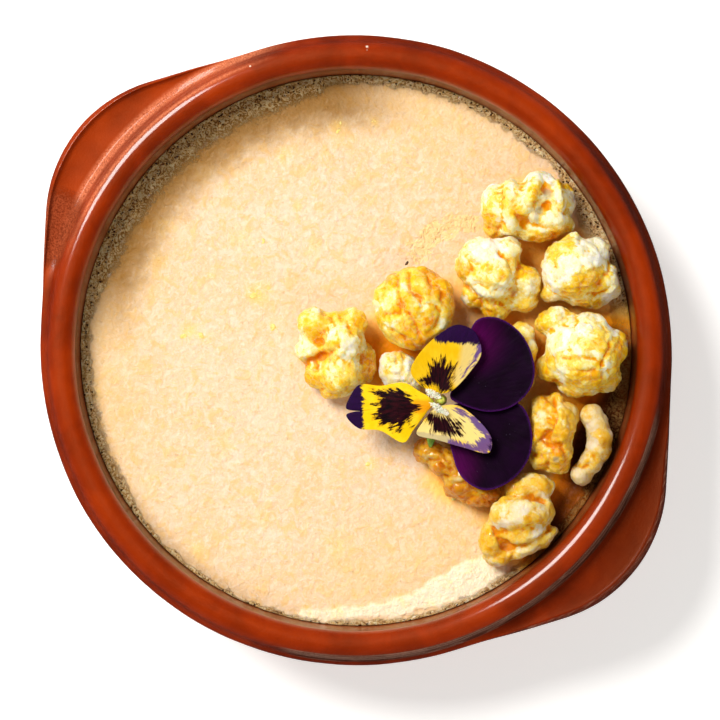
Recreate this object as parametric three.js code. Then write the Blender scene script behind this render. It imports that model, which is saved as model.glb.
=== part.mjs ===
// Corn flan set in a small glazed clay dish with two ear handles, topped with caramel popcorn
// and a viola flower. Millimetres, +Z up, origin under the middle of the flat base,
// the handles on the X axis. The toppings keep a group of their own, turned against the handles.
import * as THREE from 'three';
import { mergeVertices } from 'three/addons/utils/BufferGeometryUtils.js';

// Dish
const RIM_RADIUS = 70;        // outside of the shoulder under the rim
const DISH_HEIGHT = 36;
const BASE_RADIUS = 52;
const BASE_THICKNESS = 6.5;
const FLOOR_RADIUS = 45;      // flat part of the floor inside
const WALL_INSIDE = 62.2;     // inside radius under the rim
const WALL_TOP = 32.4;        // height at which the inner wall meets the rim
const INSIDE_BULGE = [59, BASE_THICKNESS];  // what the wall's curves bend round
const OUTSIDE_BULGE = [62, 2];
const WALL_STEPS = 6;
const BEAD_RADIUS = 65.3;     // middle of the rounded rim
const BEAD_HALF_WIDTH = 3.1;
const BEAD_RISE = 2.6;
const BEAD_STEPS = 6;
const LEDGE = 3.6;            // shoulder and handles lie this far below the rim's crest

// Section from the groove behind the rim, over the handle and its raised lip, to its root:
// radius where there is no handle, share of the handle's reach added to it, height over the
// ledge, and how much higher it is on a handle.
const SHOULDER = [
  [69.1, 0.12, -0.2, -0.9],
  [69.5, 0.5, -0.5, -0.7],
  [69.7, 0.8, -0.7, -0.2],
  [69.9, 0.9, -1.0, 1.0],
  [RIM_RADIUS, 1, -1.8, 0.5],
  [69.9, 0.95, -3.4, 0.1],
  [69.4, 0.62, -5.2, 0.4],
  [68.6, 0.15, -7.6, -0.8],
];

// Ear handles: each outline is the tangent hull of the shoulder and a nose circle
const HANDLE_REACH = 78.9;    // from the middle to the handle's tip
const HANDLE_NOSE = 32;       // radius of the nose circle
const HANDLE_ROOT = 70.4;     // shoulder radius that the tangents leave from
const HANDLE_FADE = 46;       // degrees from the handle's middle to the plain shoulder
const HANDLE_FADE_START = 0.6;  // share of the tangents' angle at which the fading starts
const HANDLE_FULL = 4;        // reach from which its section is a handle's
const HANDLE_SECTIONS = 26;   // sections of the dish along one handle
const PLAIN_SECTIONS = 13;    // and between the handles

// Flan
const FLAN_LEVEL = 27.2;
const FLAN_SECTIONS = 60;
const FLAN_RINGS = [0.3, 0.6, 0.82, 0.94];  // shares of its radius
const FLAN_EDGE = 0.6;        // rounded edge
const FLAN_EDGE_RISE = 0.5;   // where the froth climbs the wall
const FLAN_FLATNESS = 14;     // how close to the edge the rise starts
const GAP = 0.3;              // between pieces that touch

// Toppings
const TOPPING_TURN = 38;      // degrees between the toppings' own axes and the handles
const FLOWER_AT = [17.9, -11.0];
const FLOWER_HEIGHT = 11.6;   // petals above the flan, at the flower's heart
const PETAL_THICKNESS = 0.5;

const CLAY = new THREE.MeshStandardMaterial({ color: 0xa33c12, roughness: 0.22, metalness: 0 });
const CUSTARD = new THREE.MeshStandardMaterial({ color: 0xf3d79c, roughness: 0.5, metalness: 0 });
const POPCORN = new THREE.MeshStandardMaterial({ color: 0xf6dc98, roughness: 0.45, metalness: 0 });
const PURPLE = new THREE.MeshStandardMaterial({ color: 0x2c0838, roughness: 0.6, metalness: 0 });
const YELLOW = new THREE.MeshStandardMaterial({ color: 0xe6cf3c, roughness: 0.6, metalness: 0 });
const GREEN = new THREE.MeshStandardMaterial({ color: 0x6f9a2c, roughness: 0.6, metalness: 0 });

const radians = THREE.MathUtils.degToRad;
const smooth = THREE.MathUtils.smoothstep;

// A closed surface through rings of points, each ring with the same number of points and
// counterclockwise seen from its axis, between a first and a last point on that axis.
function ringGeometry(first, rings, last) {
  const count = rings[0].length;
  const points = [first, ...rings.flat(), last];
  const at = (ring, i) => 1 + ring * count + (i % count);
  const index = [];
  for (let i = 0; i < count; i++) {
    index.push(0, at(0, i), at(0, i + 1));
    for (let ring = 0; ring + 1 < rings.length; ring++) {
      index.push(at(ring, i), at(ring + 1, i), at(ring, i + 1));
      index.push(at(ring, i + 1), at(ring + 1, i), at(ring + 1, i + 1));
    }
    index.push(at(rings.length - 1, i), points.length - 1, at(rings.length - 1, i + 1));
  }
  const geometry = new THREE.BufferGeometry();
  geometry.setAttribute('position', new THREE.Float32BufferAttribute(points.flat(), 3));
  geometry.setIndex(index);
  geometry.computeVertexNormals();
  return geometry;
}

function ringAt(angles, pointAt) {
  return angles.map((angle) => {
    const [r, z] = pointAt(angle);
    return [r * Math.cos(angle), r * Math.sin(angle), z];
  });
}

// How far the handle's outline stands out past the rim radius, at an angle round the dish
function handleReach(angle) {
  const off = Math.abs(Math.asin(Math.sin(angle)));
  const centre = HANDLE_REACH - HANDLE_NOSE;
  const lean = Math.acos((HANDLE_ROOT - HANDLE_NOSE) / centre);
  const noseEnd = Math.atan2(
    HANDLE_NOSE * Math.sin(lean), centre + HANDLE_NOSE * Math.cos(lean));
  let hull = HANDLE_ROOT;
  if (off < noseEnd) {
    const across = centre * Math.sin(off);
    hull = centre * Math.cos(off) + Math.sqrt(HANDLE_NOSE ** 2 - across ** 2);
  } else if (off < lean) {
    hull = HANDLE_ROOT / Math.cos(lean - off);
  }
  const fade = 1 - smooth(off, lean * HANDLE_FADE_START, radians(HANDLE_FADE));
  return (hull - RIM_RADIUS) * fade;
}

// Angles of the dish's sections, closer together along the handles
function dishAngles() {
  const half = radians(HANDLE_FADE);
  const spread = (from, to, count) => {
    return Array.from({ length: count }, (_, i) => from + ((to - from) * i) / count);
  };
  return [0, Math.PI].flatMap((middle) => [
    ...spread(middle - half, middle + half, HANDLE_SECTIONS),
    ...spread(middle + half, middle + Math.PI - half, PLAIN_SECTIONS),
  ]);
}

// The wall's inner curve, from the floor up to the rim
function insideCurve() {
  return new THREE.QuadraticBezierCurve(
    new THREE.Vector2(FLOOR_RADIUS, BASE_THICKNESS),
    new THREE.Vector2(...INSIDE_BULGE),
    new THREE.Vector2(WALL_INSIDE, WALL_TOP));
}

function dishGeometry() {
  const foot = DISH_HEIGHT - BEAD_RISE;
  const ledge = DISH_HEIGHT - LEDGE;
  const inside = insideCurve().getPoints(WALL_STEPS);

  const bead = Array.from({ length: BEAD_STEPS + 1 }, (_, i) => {
    const turn = Math.PI * (1 - i / BEAD_STEPS);
    const r = BEAD_RADIUS + BEAD_HALF_WIDTH * Math.cos(turn);
    return new THREE.Vector2(r, foot + BEAD_RISE * Math.sin(turn));
  });

  const shoulder = SHOULDER.map(([radius, share, over, lift]) => (angle) => {
    const reach = handleReach(angle);
    const ear = smooth(reach, 0, HANDLE_FULL);
    return [radius + share * reach, ledge + over + lift * ear];
  });

  const [rootRadius, , rootHeight] = SHOULDER.at(-1);
  const outside = new THREE.QuadraticBezierCurve(
    new THREE.Vector2(rootRadius, ledge + rootHeight),
    new THREE.Vector2(...OUTSIDE_BULGE),
    new THREE.Vector2(BASE_RADIUS, 0)).getPoints(WALL_STEPS).slice(1);

  const round = (point) => () => [point.x, point.y];
  const places = [...inside.map(round), ...bead.map(round), ...shoulder, ...outside.map(round)];
  const angles = dishAngles();
  return ringGeometry([0, 0, BASE_THICKNESS], places.map((at) => ringAt(angles, at)), [0, 0, 0]);
}

// The flan fills the dish up to its level, a gap short of the clay
function flanGeometry() {
  const wall = insideCurve().getPoints(WALL_STEPS);
  const [low, high] = [wall.at(-2), wall.at(-1)];
  const share = (FLAN_LEVEL - low.y) / (high.y - low.y);
  const radius = low.x + (high.x - low.x) * share - GAP;

  const crest = radius - FLAN_EDGE;
  const top = [...FLAN_RINGS.map((part) => part * radius), crest].map((r) => {
    return [r, FLAN_LEVEL + FLAN_EDGE_RISE * (r / crest) ** FLAN_FLATNESS];
  });
  const side = wall.slice(0, -1).reverse().map((point) => [point.x - GAP, point.y + GAP]);
  const places = [...top, [radius, FLAN_LEVEL], ...side];

  const angles = Array.from({ length: FLAN_SECTIONS }, (_, i) => (2 * Math.PI * i) / FLAN_SECTIONS);
  const rings = places.map((place) => ringAt(angles, () => place));
  return ringGeometry([0, 0, FLAN_LEVEL], rings, [0, 0, BASE_THICKNESS + GAP]);
}

// Popcorn. A puffed lobe is an ellipsoid: x, y, its height above the flan, three half sizes
// and a turn in degrees. A piece is its lobes run together, seen from its own middle: along
// each direction its skin is where the last lobe ends, and its foot is pressed flat.
const POPCORN_MIDDLE = 4.2;   // height of a piece's middle above the flan
const CREASE = 0.35;          // how softly two lobes meet
const POPCORN_DETAIL = 4;     // how finely its sphere of directions is divided
const LONGEST = 16;           // longer than any direction's way to the skin
const STRIDE = 0.2;           // step of the search for it

function lobeDistance(point, [x, y, z, rx, ry, rz, turn = 0]) {
  const c = Math.cos(radians(turn));
  const s = Math.sin(radians(turn));
  const dx = point.x - x;
  const dy = point.y - y;
  const scaled = Math.hypot((dx * c + dy * s) / rx, (dy * c - dx * s) / ry, (point.z - z) / rz);
  return (scaled - 1) * Math.min(rx, ry, rz);
}

function popcornDistance(point, lobes, hollows) {
  const sum = lobes.reduce((all, lobe) => all + Math.exp(-lobeDistance(point, lobe) / CREASE), 0);
  const cut = hollows.map((hollow) => -lobeDistance(point, hollow));
  return Math.max(-CREASE * Math.log(sum), ...cut);
}

function popcornGeometry({ lobes, hollows = [], middle = [0, 0] }) {
  const centre = new THREE.Vector3(middle[0], middle[1], POPCORN_MIDDLE);
  const ball = new THREE.IcosahedronGeometry(1, POPCORN_DETAIL);
  ball.deleteAttribute('normal');
  ball.deleteAttribute('uv');
  const geometry = mergeVertices(ball, 1e-4);
  const place = geometry.attributes.position;
  const ray = new THREE.Vector3();
  const point = new THREE.Vector3();
  for (let i = 0; i < place.count; i++) {
    ray.fromBufferAttribute(place, i).normalize();
    let reach = ray.z < 0 ? Math.min(LONGEST, (GAP - centre.z) / ray.z) : LONGEST;
    const distanceAt = (length) => {
      point.copy(centre).addScaledVector(ray, length);
      return popcornDistance(point, lobes, hollows);
    };
    while (reach > STRIDE && distanceAt(reach) > 0) reach -= STRIDE;
    point.copy(centre).addScaledVector(ray, reach);
    place.setXYZ(i, point.x, point.y, point.z);
  }
  geometry.computeVertexNormals();
  return geometry;
}

const popcorn = {
  popcorn_left: {
    at: [-4.4, -0.4, 0],
    lobes: [
      [1.8, 2.0, 6.6, 4.6, 5.5, 6.4], [-4.9, 6.2, 4.6, 3.9, 3.9, 4.8], [4.0, 6.6, 5.8, 3.1, 3.2, 4.4],
      [-6.2, 0.2, 4.0, 2.9, 3.0, 3.8], [1.4, -4.9, 5.8, 5.2, 4.8, 5.6], [-4.2, -5.4, 3.2, 2.9, 2.9, 3.2],
      [6.5, -2.4, 3.4, 2.4, 4.8, 3.4], [-1.1, -8.0, 3.2, 2.8, 2.7, 3.1],
      [0.4, 7.0, 4.8, 3.2, 2.2, 4.2],
    ],
  },
  popcorn_round: {
    at: [12.9, 9.3, 0],
    lobes: [
      [0, 0, 7.2, 8.9, 9.2, 7.2], [-6.2, 2.2, 8.2, 3.2, 3.6, 3.2], [1.1, 6.2, 8.8, 3.4, 3.2, 3.2],
      [-0.6, 1.6, 12.0, 2.4, 3.6, 2.9], [-2.1, -4.1, 9.6, 3.7, 3.3, 3.4], [3.4, -2.0, 10.2, 2.9, 3.7, 3.2],
      [5.6, 3.2, 8.6, 3.1, 3.4, 3.2],
    ],
  },
  popcorn_small: {
    at: [9.3, -4.6, 0],
    lobes: [
      [0.3, 0, 4.2, 4.4, 4.3, 4.3], [-1.8, 2.0, 5.2, 2.5, 2.4, 3.1], [2.8, -1.8, 4.6, 3.0, 3.0, 3.4],
    ],
  },
  popcorn_upper: {
    at: [31.4, 16.2, 0],
    lobes: [
      [-1.1, 0.4, 7.2, 6.0, 6.0, 7.0], [-3.8, 4.4, 7.6, 4.8, 4.6, 5.6], [2.0, 5.8, 6.8, 3.5, 3.4, 4.6],
      [6.3, -1.3, 5.6, 3.6, 4.0, 4.8], [5.6, -4.9, 4.5, 3.4, 2.9, 4.0], [-0.4, -6.8, 4.5, 3.2, 2.8, 3.8],
      [-5.4, -4.2, 3.8, 2.7, 2.6, 3.5], [-7.0, 2.2, 5.0, 2.6, 3.3, 4.0],
    ],
  },
  popcorn_top: {
    at: [38.7, 31.6, 0.1],
    lobes: [
      [-8.0, 0.2, 5.4, 3.1, 5.2, 5.0], [-7.6, -4.2, 3.8, 3.0, 2.8, 3.4], [-4.4, 0.2, 7.0, 3.1, 6.2, 6.0],
      [0.2, 1.4, 7.8, 3.4, 5.4, 6.0, -15], [2.0, 5.6, 6.4, 3.4, 2.7, 4.6],
      [6.0, 2.0, 6.6, 2.3, 4.4, 5.4, 10], [5.2, -2.7, 6.0, 3.7, 3.4, 5.2],
      [1.4, -5.0, 4.8, 6.2, 2.6, 4.2], [8.4, -4.0, 5.0, 1.6, 1.5, 1.7], [8.2, 2.0, 3.8, 1.9, 3.6, 3.5, 10],
    ],
    hollows: [[3.5, 1.6, 11.6, 1.9, 3.3, 5.0, 10]],
  },
  popcorn_right_upper: {
    at: [49.0, 17.6, 0.1],
    lobes: [
      [-0.9, 0.7, 7.9, 7.2, 6.8, 7.5], [-1.1, 7.0, 8.0, 1.8, 1.5, 1.8], [-5.5, -4.8, 4.4, 2.7, 2.3, 3.5],
      [2.0, -5.6, 4.6, 5.4, 2.5, 3.6], [4.4, -6.4, 3.3, 3.8, 2.0, 2.9, 15], [6.6, -2.0, 6.0, 2.5, 3.8, 5.0],
      [8.0, -4.4, 4.4, 1.8, 1.7, 2.0], [4.3, 4.2, 5.4, 3.0, 3.2, 4.4],
    ],
  },
  popcorn_right: {
    at: [49.9, -0.6, 0.1],
    lobes: [
      [0.4, -0.2, 8.2, 8.5, 8.0, 8.0], [-6.2, 7.2, 6.4, 4.2, 3.0, 4.5, 25], [1.3, 6.0, 7.2, 5.0, 2.9, 5.0],
      [-7.0, -3.3, 4.9, 3.0, 3.1, 4.2], [7.7, 1.4, 6.0, 2.6, 4.0, 5.0], [-0.4, -7.4, 4.6, 5.0, 2.6, 3.8],
      [6.0, -5.9, 4.8, 3.2, 2.6, 3.7, 30],
    ],
  },
  popcorn_folded: {
    at: [44.2, -18.2, 0],
    lobes: [
      [1.0, 1.6, 6.2, 3.5, 5.4, 6.3], [-2.8, 5.6, 5.0, 2.6, 2.8, 4.8], [-3.1, 2.6, 5.6, 2.6, 2.7, 4.8],
      [-4.0, -0.8, 4.8, 2.1, 3.4, 4.7], [3.0, 3.8, 5.2, 2.3, 2.8, 4.8], [0.4, -4.4, 5.2, 3.6, 3.4, 5.2],
      [-3.5, -6.2, 4.0, 2.5, 2.3, 3.9], [0.5, -7.2, 3.8, 3.2, 2.0, 3.6], [0.1, 7.4, 5.6, 1.6, 1.5, 1.8],
    ],
  },
  popcorn_crescent: {
    at: [52.9, -20.5, 0.25],
    middle: [0.4, -0.6],
    lobes: [
      [-0.7, 5.9, 4.8, 2.2, 2.2, 3.2], [0.6, 4.0, 4.6, 2.4, 2.6, 3.8], [1.2, 1.4, 4.4, 2.5, 2.8, 4.1],
      [0.8, -1.4, 4.2, 2.5, 2.8, 3.9], [-0.6, -4.0, 3.8, 2.3, 2.5, 3.4], [-2.8, -6.9, 3.4, 2.2, 2.4, 3.0],
    ],
  },
  popcorn_stacked: {
    at: [36.2, -37.8, 0.25],
    middle: [1.5, -1.2],
    lobes: [
      [3.4, 7.8, 4.8, 4.5, 2.7, 4.2, -8], [0.2, 6.6, 4.6, 3.4, 2.7, 4.2], [-0.4, 1.6, 7.6, 6.3, 4.2, 5.0],
      [5.6, 2.2, 4.6, 2.2, 3.0, 4.6], [0.9, -2.6, 5.0, 5.4, 3.5, 4.8], [-6.2, -4.2, 4.3, 2.8, 4.2, 4.2],
      [-4.8, -8.0, 3.4, 3.3, 2.2, 3.2], [2.2, -5.2, 3.9, 7.4, 2.2, 3.6, 27],
    ],
  },
  popcorn_lower: {
    at: [22.1, -26.9, 0],
    lobes: [
      [-6.2, 4.2, 3.8, 3.6, 2.8, 3.6, -20], [-2.2, 2.0, 4.4, 3.8, 3.5, 4.2],
      [1.3, -1.8, 4.6, 4.2, 3.5, 4.4],
      [4.2, -5.2, 3.8, 3.5, 2.8, 3.5], [6.9, -5.0, 3.8, 3.3, 2.8, 3.6], [-0.4, -4.2, 2.7, 2.3, 1.8, 2.5],
    ],
  },
  popcorn_behind: {
    at: [34.5, -0.9, 0],
    lobes: [
      [-0.4, -0.4, 4.8, 5.2, 6.4, 4.8], [2.4, 4.6, 5.0, 3.0, 2.5, 3.9], [4.0, 1.0, 4.6, 1.9, 3.4, 3.7],
      [2.8, -5.2, 4.2, 2.4, 2.8, 3.6],
    ],
  },
};

// A petal is one thin wavy solid. Its outline is a smooth closed curve through a few points
// measured from the flower's heart; rise, lean and cup set the height of its middle sheet.
const PETAL_RINGS = 3;
const SAMPLES_PER_POINT = 2;
const PETAL_WAVES = 3;        // ripples round its edge

function petalHeight(petal, x, y, turn, share) {
  const { rise, lean = [0, 0], cup = 0, wave = 0 } = petal;
  const ripple = wave * Math.sin(PETAL_WAVES * turn) * share ** 3;
  return rise + lean[0] * x + lean[1] * y + cup * share ** 2 + ripple;
}

function petalGeometry(petal) {
  const curve = new THREE.CatmullRomCurve3(
    petal.outline.map(([x, y]) => new THREE.Vector3(x, y, 0)), true);
  const count = petal.outline.length * SAMPLES_PER_POINT;
  const rim = Array.from({ length: count }, (_, i) => curve.getPoint(i / count));
  const [mx, my] = petal.middle;
  const sheet = (side) => Array.from({ length: PETAL_RINGS }, (_, ring) => {
    const share = (ring + 1) / PETAL_RINGS;
    return rim.map((edge, i) => {
      const x = mx + (edge.x - mx) * share;
      const y = my + (edge.y - my) * share;
      const z = petalHeight(petal, x, y, (2 * Math.PI * i) / count, share);
      return [x, y, z + (side * PETAL_THICKNESS) / 2];
    });
  });
  const centre = (side) => {
    return [mx, my, petalHeight(petal, mx, my, 0, 0) + (side * PETAL_THICKNESS) / 2];
  };
  return ringGeometry(centre(1), [...sheet(1), ...sheet(-1).reverse()], centre(-1));
}

const petals = {
  petal_back_lower: {
    finish: PURPLE, middle: [11.6, -9.4], rise: -3.3, lean: [0.02, -0.02], cup: 0.5, wave: 0.3,
    outline: [
      [6.0, -0.4], [2.8, -1.8], [2.4, -6.0], [3.3, -11.5], [5.6, -17.2], [10.6, -19.9],
      [16.4, -17.8], [20.2, -13.0], [21.0, -7.6], [18.8, -1.4], [12.0, 0.6],
    ],
  },
  petal_back_upper: {
    finish: PURPLE, middle: [12.4, 7.4], rise: -2.1, lean: [0.03, 0], cup: 0.5, wave: 0.3,
    outline: [
      [2.9, 0.6], [5.4, -1.0], [11.5, -2.6], [17.0, -1.2], [21.0, 3.4], [21.2, 9.0],
      [18.2, 15.0], [13.0, 18.2], [8.8, 17.6], [6.2, 12.0], [4.6, 5.0],
    ],
  },
  petal_side_lower: {
    finish: YELLOW, middle: [3.6, -5.6], rise: 0.1, lean: [0, 0.02], cup: 0.2, wave: 0.15,
    outline: [
      [0.6, -1.4], [-1.4, -2.6], [-3.2, -4.9], [-4.5, -7.5], [0.0, -8.8], [5.6, -10.4],
      [11.4, -11.6], [12.0, -8.6], [8.9, -4.3], [4.4, -1.2],
    ],
  },
  petal_side_upper: {
    finish: YELLOW, middle: [2.2, 9.0], rise: 0.3, lean: [-0.02, 0.03], cup: 0.2, wave: 0.2,
    outline: [
      [0.9, 1.4], [3.4, 2.2], [7.4, 6.4], [9.7, 10.2], [8.4, 14.9], [4.6, 16.6],
      [0.4, 14.5], [-4.4, 9.6], [-5.8, 6.2], [-3.2, 2.9],
    ],
  },
  petal_lip: {
    finish: YELLOW, middle: [-9.6, -1.9], rise: -0.9, lean: [0.02, 0], cup: -0.4, wave: 0.2,
    outline: [
      [-0.7, -0.4], [-4.0, 2.0], [-7.4, 3.8], [-12.5, 3.1], [-17.2, 3.3], [-19.4, 0.4],
      [-20.0, -1.9], [-16.8, -2.4], [-20.0, -3.3], [-17.4, -6.2], [-12.5, -6.8],
      [-7.3, -9.4], [-5.2, -6.6], [-2.2, -2.6],
    ],
  },
  sepal: {
    finish: GREEN, middle: [-0.9, -6.4], rise: -4.5, cup: 0.1,
    outline: [[0.4, -2.4], [-0.8, -2.6], [-2.3, -7.4], [-1.5, -10.6], [-0.3, -8.6]],
  },
};

// The green knob seen between the petals, which they spring from: radius and height
const HEART_AT = [0.9, 0];
const HEART_PROFILE = [
  [0, -5.6], [0.9, -5.4], [1.3, -4.2], [1.0, -2.6], [0.85, 0.2], [0.6, 1.1], [0, 1.4],
];
const HEART_SIDES = 12;

function heartGeometry() {
  const points = HEART_PROFILE.map(([r, z]) => new THREE.Vector2(r, z));
  return new THREE.LatheGeometry(points, HEART_SIDES).rotateX(Math.PI / 2);
}

function named(name, geometry, material) {
  const mesh = new THREE.Mesh(geometry, material);
  mesh.name = name;
  return mesh;
}

const object = new THREE.Group();
object.add(named('dish', dishGeometry(), CLAY));
object.add(named('flan', flanGeometry(), CUSTARD));

const toppings = new THREE.Group();
toppings.rotation.z = radians(TOPPING_TURN);
toppings.position.z = FLAN_LEVEL;
for (const [name, shape] of Object.entries(popcorn)) {
  const piece = named(name, popcornGeometry(shape), POPCORN);
  piece.position.set(...shape.at);
  toppings.add(piece);
}

const flower = new THREE.Group();
flower.position.set(FLOWER_AT[0], FLOWER_AT[1], FLOWER_HEIGHT);
for (const [name, petal] of Object.entries(petals)) {
  flower.add(named(name, petalGeometry(petal), petal.finish));
}
const heart = named('flower_heart', heartGeometry(), GREEN);
heart.position.set(HEART_AT[0], HEART_AT[1], 0);
flower.add(heart);
toppings.add(flower);
object.add(toppings);

export default object;
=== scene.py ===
"""A corn flan set in a glazed clay dish with two ear handles, topped with caramel popcorn and
a viola flower. Everything is in metres, in the frame of the packed model. Places on the flan
are given in millimetres along the photograph's own axes, u to its right and v up it."""

import math
from functools import reduce

import bpy
import numpy as np
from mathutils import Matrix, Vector, noise


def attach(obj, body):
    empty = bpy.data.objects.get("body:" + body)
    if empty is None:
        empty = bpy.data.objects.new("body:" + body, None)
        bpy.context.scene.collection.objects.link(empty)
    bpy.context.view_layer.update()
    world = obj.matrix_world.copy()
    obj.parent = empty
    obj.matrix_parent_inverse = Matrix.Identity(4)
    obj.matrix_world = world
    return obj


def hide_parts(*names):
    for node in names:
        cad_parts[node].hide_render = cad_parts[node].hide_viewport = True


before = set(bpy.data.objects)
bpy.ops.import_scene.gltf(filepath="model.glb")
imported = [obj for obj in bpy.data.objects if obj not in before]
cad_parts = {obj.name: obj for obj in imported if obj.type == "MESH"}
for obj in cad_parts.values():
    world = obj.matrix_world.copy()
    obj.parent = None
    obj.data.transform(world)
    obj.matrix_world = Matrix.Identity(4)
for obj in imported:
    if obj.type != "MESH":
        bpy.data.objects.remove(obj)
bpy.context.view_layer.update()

bl_info = {
    "name": "Corn Flan in a Clay Dish",
    "version": (1, 0, 0),
    "blender": (4, 5, 0),
    "location": "View3D > Sidebar > Flan",
    "description": "Builds a corn flan in its glazed clay dish, with popcorn and a viola flower",
    "category": "Object",
}

MM = 0.001

# The photograph: straight down, its right-hand side 38 degrees round from the handles
TURN = math.radians(38.0)
PHOTO_PIXELS = 720
PHOTO_CENTRE = (355.96, 350.12)  # pixel over the dish's middle
PHOTO_SCALE = 0.2210  # millimetres a pixel at the rim

# Sizes shared with the solids, in millimetres
DISH_HEIGHT = 36.0
BASE_RADIUS = 52.0
BASE_THICKNESS = 6.5
FLOOR_RADIUS = 45.0
WALL_INSIDE = 62.2
WALL_TOP = 32.4
INSIDE_BULGE = (59.0, BASE_THICKNESS)
OUTSIDE_BULGE = (62.0, 2.0)
BEAD_RADIUS = 65.3
BEAD_HALF_WIDTH = 3.1
BEAD_RISE = 2.6
LEDGE = 3.6
RIM_RADIUS = 70.0
HANDLE_REACH = 78.9
HANDLE_NOSE = 32.0
HANDLE_ROOT = 70.4
HANDLE_FADE = math.radians(46.0)
HANDLE_FADE_START = 0.6
HANDLE_FULL = 4.0
# radius without a handle, share of the handle's reach, height over the ledge, lift on a handle
SHOULDER = (
    (69.1, 0.12, -0.2, -0.6),
    (69.5, 0.5, -0.5, -0.62),
    (69.7, 0.8, -0.7, -0.2),
    (69.9, 0.9, -1.0, 1.0),
    (RIM_RADIUS, 1.0, -1.8, 0.5),
    (69.9, 0.95, -3.4, 0.1),
    (69.4, 0.62, -5.2, 0.4),
    (68.6, 0.15, -7.6, -0.8),
)
FLAN_LEVEL = 27.2
FLAN_RADIUS = 61.0
FLOWER_AT = (17.9, -11.0)
FLOWER_HEIGHT = 11.6


def linear(red, green, blue):
    """A colour read as 0 to 255 from a picture, as the linear light that Blender works in."""
    shares = [value / 255.0 for value in (red, green, blue)]
    return tuple(
        share / 12.92 if share <= 0.04045 else ((share + 0.055) / 1.055) ** 2.4
        for share in shares
    )


def over(red, green, blue):
    """The same with full cover, for a colour socket."""
    return (*linear(red, green, blue), 1.0)


def row_place(u, v, z=0.0):
    """A point along the photograph's axes, in millimetres, as a point of the model."""
    x = u * math.cos(TURN) - v * math.sin(TURN)
    y = u * math.sin(TURN) + v * math.cos(TURN)
    return Vector((x, y, z)) * MM


def photo_axes(places):
    """Points of the model along the photograph's axes: u, v and height, in millimetres."""
    x, y, z = places.T / MM
    u = x * math.cos(TURN) + y * math.sin(TURN)
    v = y * math.cos(TURN) - x * math.sin(TURN)
    return u, v, z


def from_pixel(px, py):
    """Where a pixel of the photograph falls on the dish, as u and v."""
    return (px - PHOTO_CENTRE[0]) * PHOTO_SCALE, (PHOTO_CENTRE[1] - py) * PHOTO_SCALE


def under_pixel(px, py, height):
    """The point of the dish at a pixel of the photograph and a height, in millimetres."""
    return tuple(row_place(*from_pixel(px, py), height) / MM)


def ease(values, low, high):
    """0 below low, 1 above high and smooth between them."""
    share = np.clip((values - low) / (high - low), 0.0, 1.0)
    return share * share * (3.0 - 2.0 * share)


# ---------------------------------------------------------------- settings


def tint(name, description, *shade):
    """A setting for a colour, with its default read as 0 to 255."""
    return bpy.props.FloatVectorProperty(
        name=name, description=description, subtype="COLOR", size=3, default=linear(*shade),
        min=0.0, max=1.0)


def fine_length(name, description, default):
    """A setting for a small length, with its default in millimetres."""
    return bpy.props.FloatProperty(
        name=name, description=description, default=default * MM, unit="LENGTH", precision=5)


class FlanDishSettings(bpy.types.PropertyGroup):
    """Sizes and colours of the clay dish"""

    sections: bpy.props.IntProperty(
        name="Sections", description="Sections round the dish", default=540, min=60, max=720)
    unevenness: fine_length("Unevenness", "How far the clay wanders from its true shape", 0.12)
    glaze: tint("Glaze", "Main colour of the glazed clay", 130, 33, 0)
    glaze_bright: tint("Thin Glaze", "Colour where the glaze is thin", 160, 48, 0)
    glaze_dark: tint("Thick Glaze", "Colour where the glaze lies thick", 94, 20, 0)
    bare_clay: tint("Bare Clay", "Colour of unglazed or worn clay", 170, 76, 42)


class FlanCustardSettings(bpy.types.PropertyGroup):
    """Sizes and colours of the flan"""

    sections: bpy.props.IntProperty(
        name="Sections", description="Sections round the flan", default=660, min=60, max=720)
    relief: fine_length("Relief", "Height of the froth and of the waves on the flan", 0.35)
    cream: tint("Cream", "Main colour of the flan", 232, 202, 168)
    froth: tint("Froth", "Colour of the froth at the edge", 236, 218, 174)
    corn: tint("Corn", "Colour of the bits of corn", 248, 206, 96)


class FlanPopcornSettings(bpy.types.PropertyGroup):
    """Sizes and colours of the popcorn"""

    voxel: fine_length("Detail", "Size of the cells that the lobes are run together with", 0.205)
    white: tint("White", "Colour of the bare puffed corn", 255, 246, 228)
    yellow: tint("Yellow", "Colour under a thin coat of caramel", 255, 214, 84)
    caramel: tint("Caramel", "Colour of the caramel where it lies thick", 250, 170, 4)


class FlanFlowerSettings(bpy.types.PropertyGroup):
    """Sizes and colours of the flower"""

    thickness: fine_length("Thickness", "Thickness of a petal", 0.3)
    purple: tint("Purple", "Colour of the dark petals", 22, 0, 26)
    yellow: tint("Yellow", "Colour of the bright petals", 240, 196, 8)


class FlanStageSettings(bpy.types.PropertyGroup):
    """The floor, the lights and the camera"""

    floor: tint("Floor", "Colour of the floor", 246, 245, 243)
    key_power: bpy.props.FloatProperty(
        name="Key Power", description="Power of the main light", default=53.0,
        subtype="POWER", unit="POWER")
    camera_distance: bpy.props.FloatProperty(
        name="Camera Distance", description="From the rim to the camera", default=1.0,
        unit="LENGTH")


SETTINGS = {
    "flan_dish": FlanDishSettings,
    "flan_custard": FlanCustardSettings,
    "flan_popcorn": FlanPopcornSettings,
    "flan_flower": FlanFlowerSettings,
    "flan_stage": FlanStageSettings,
}


# ---------------------------------------------------------------- materials


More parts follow.
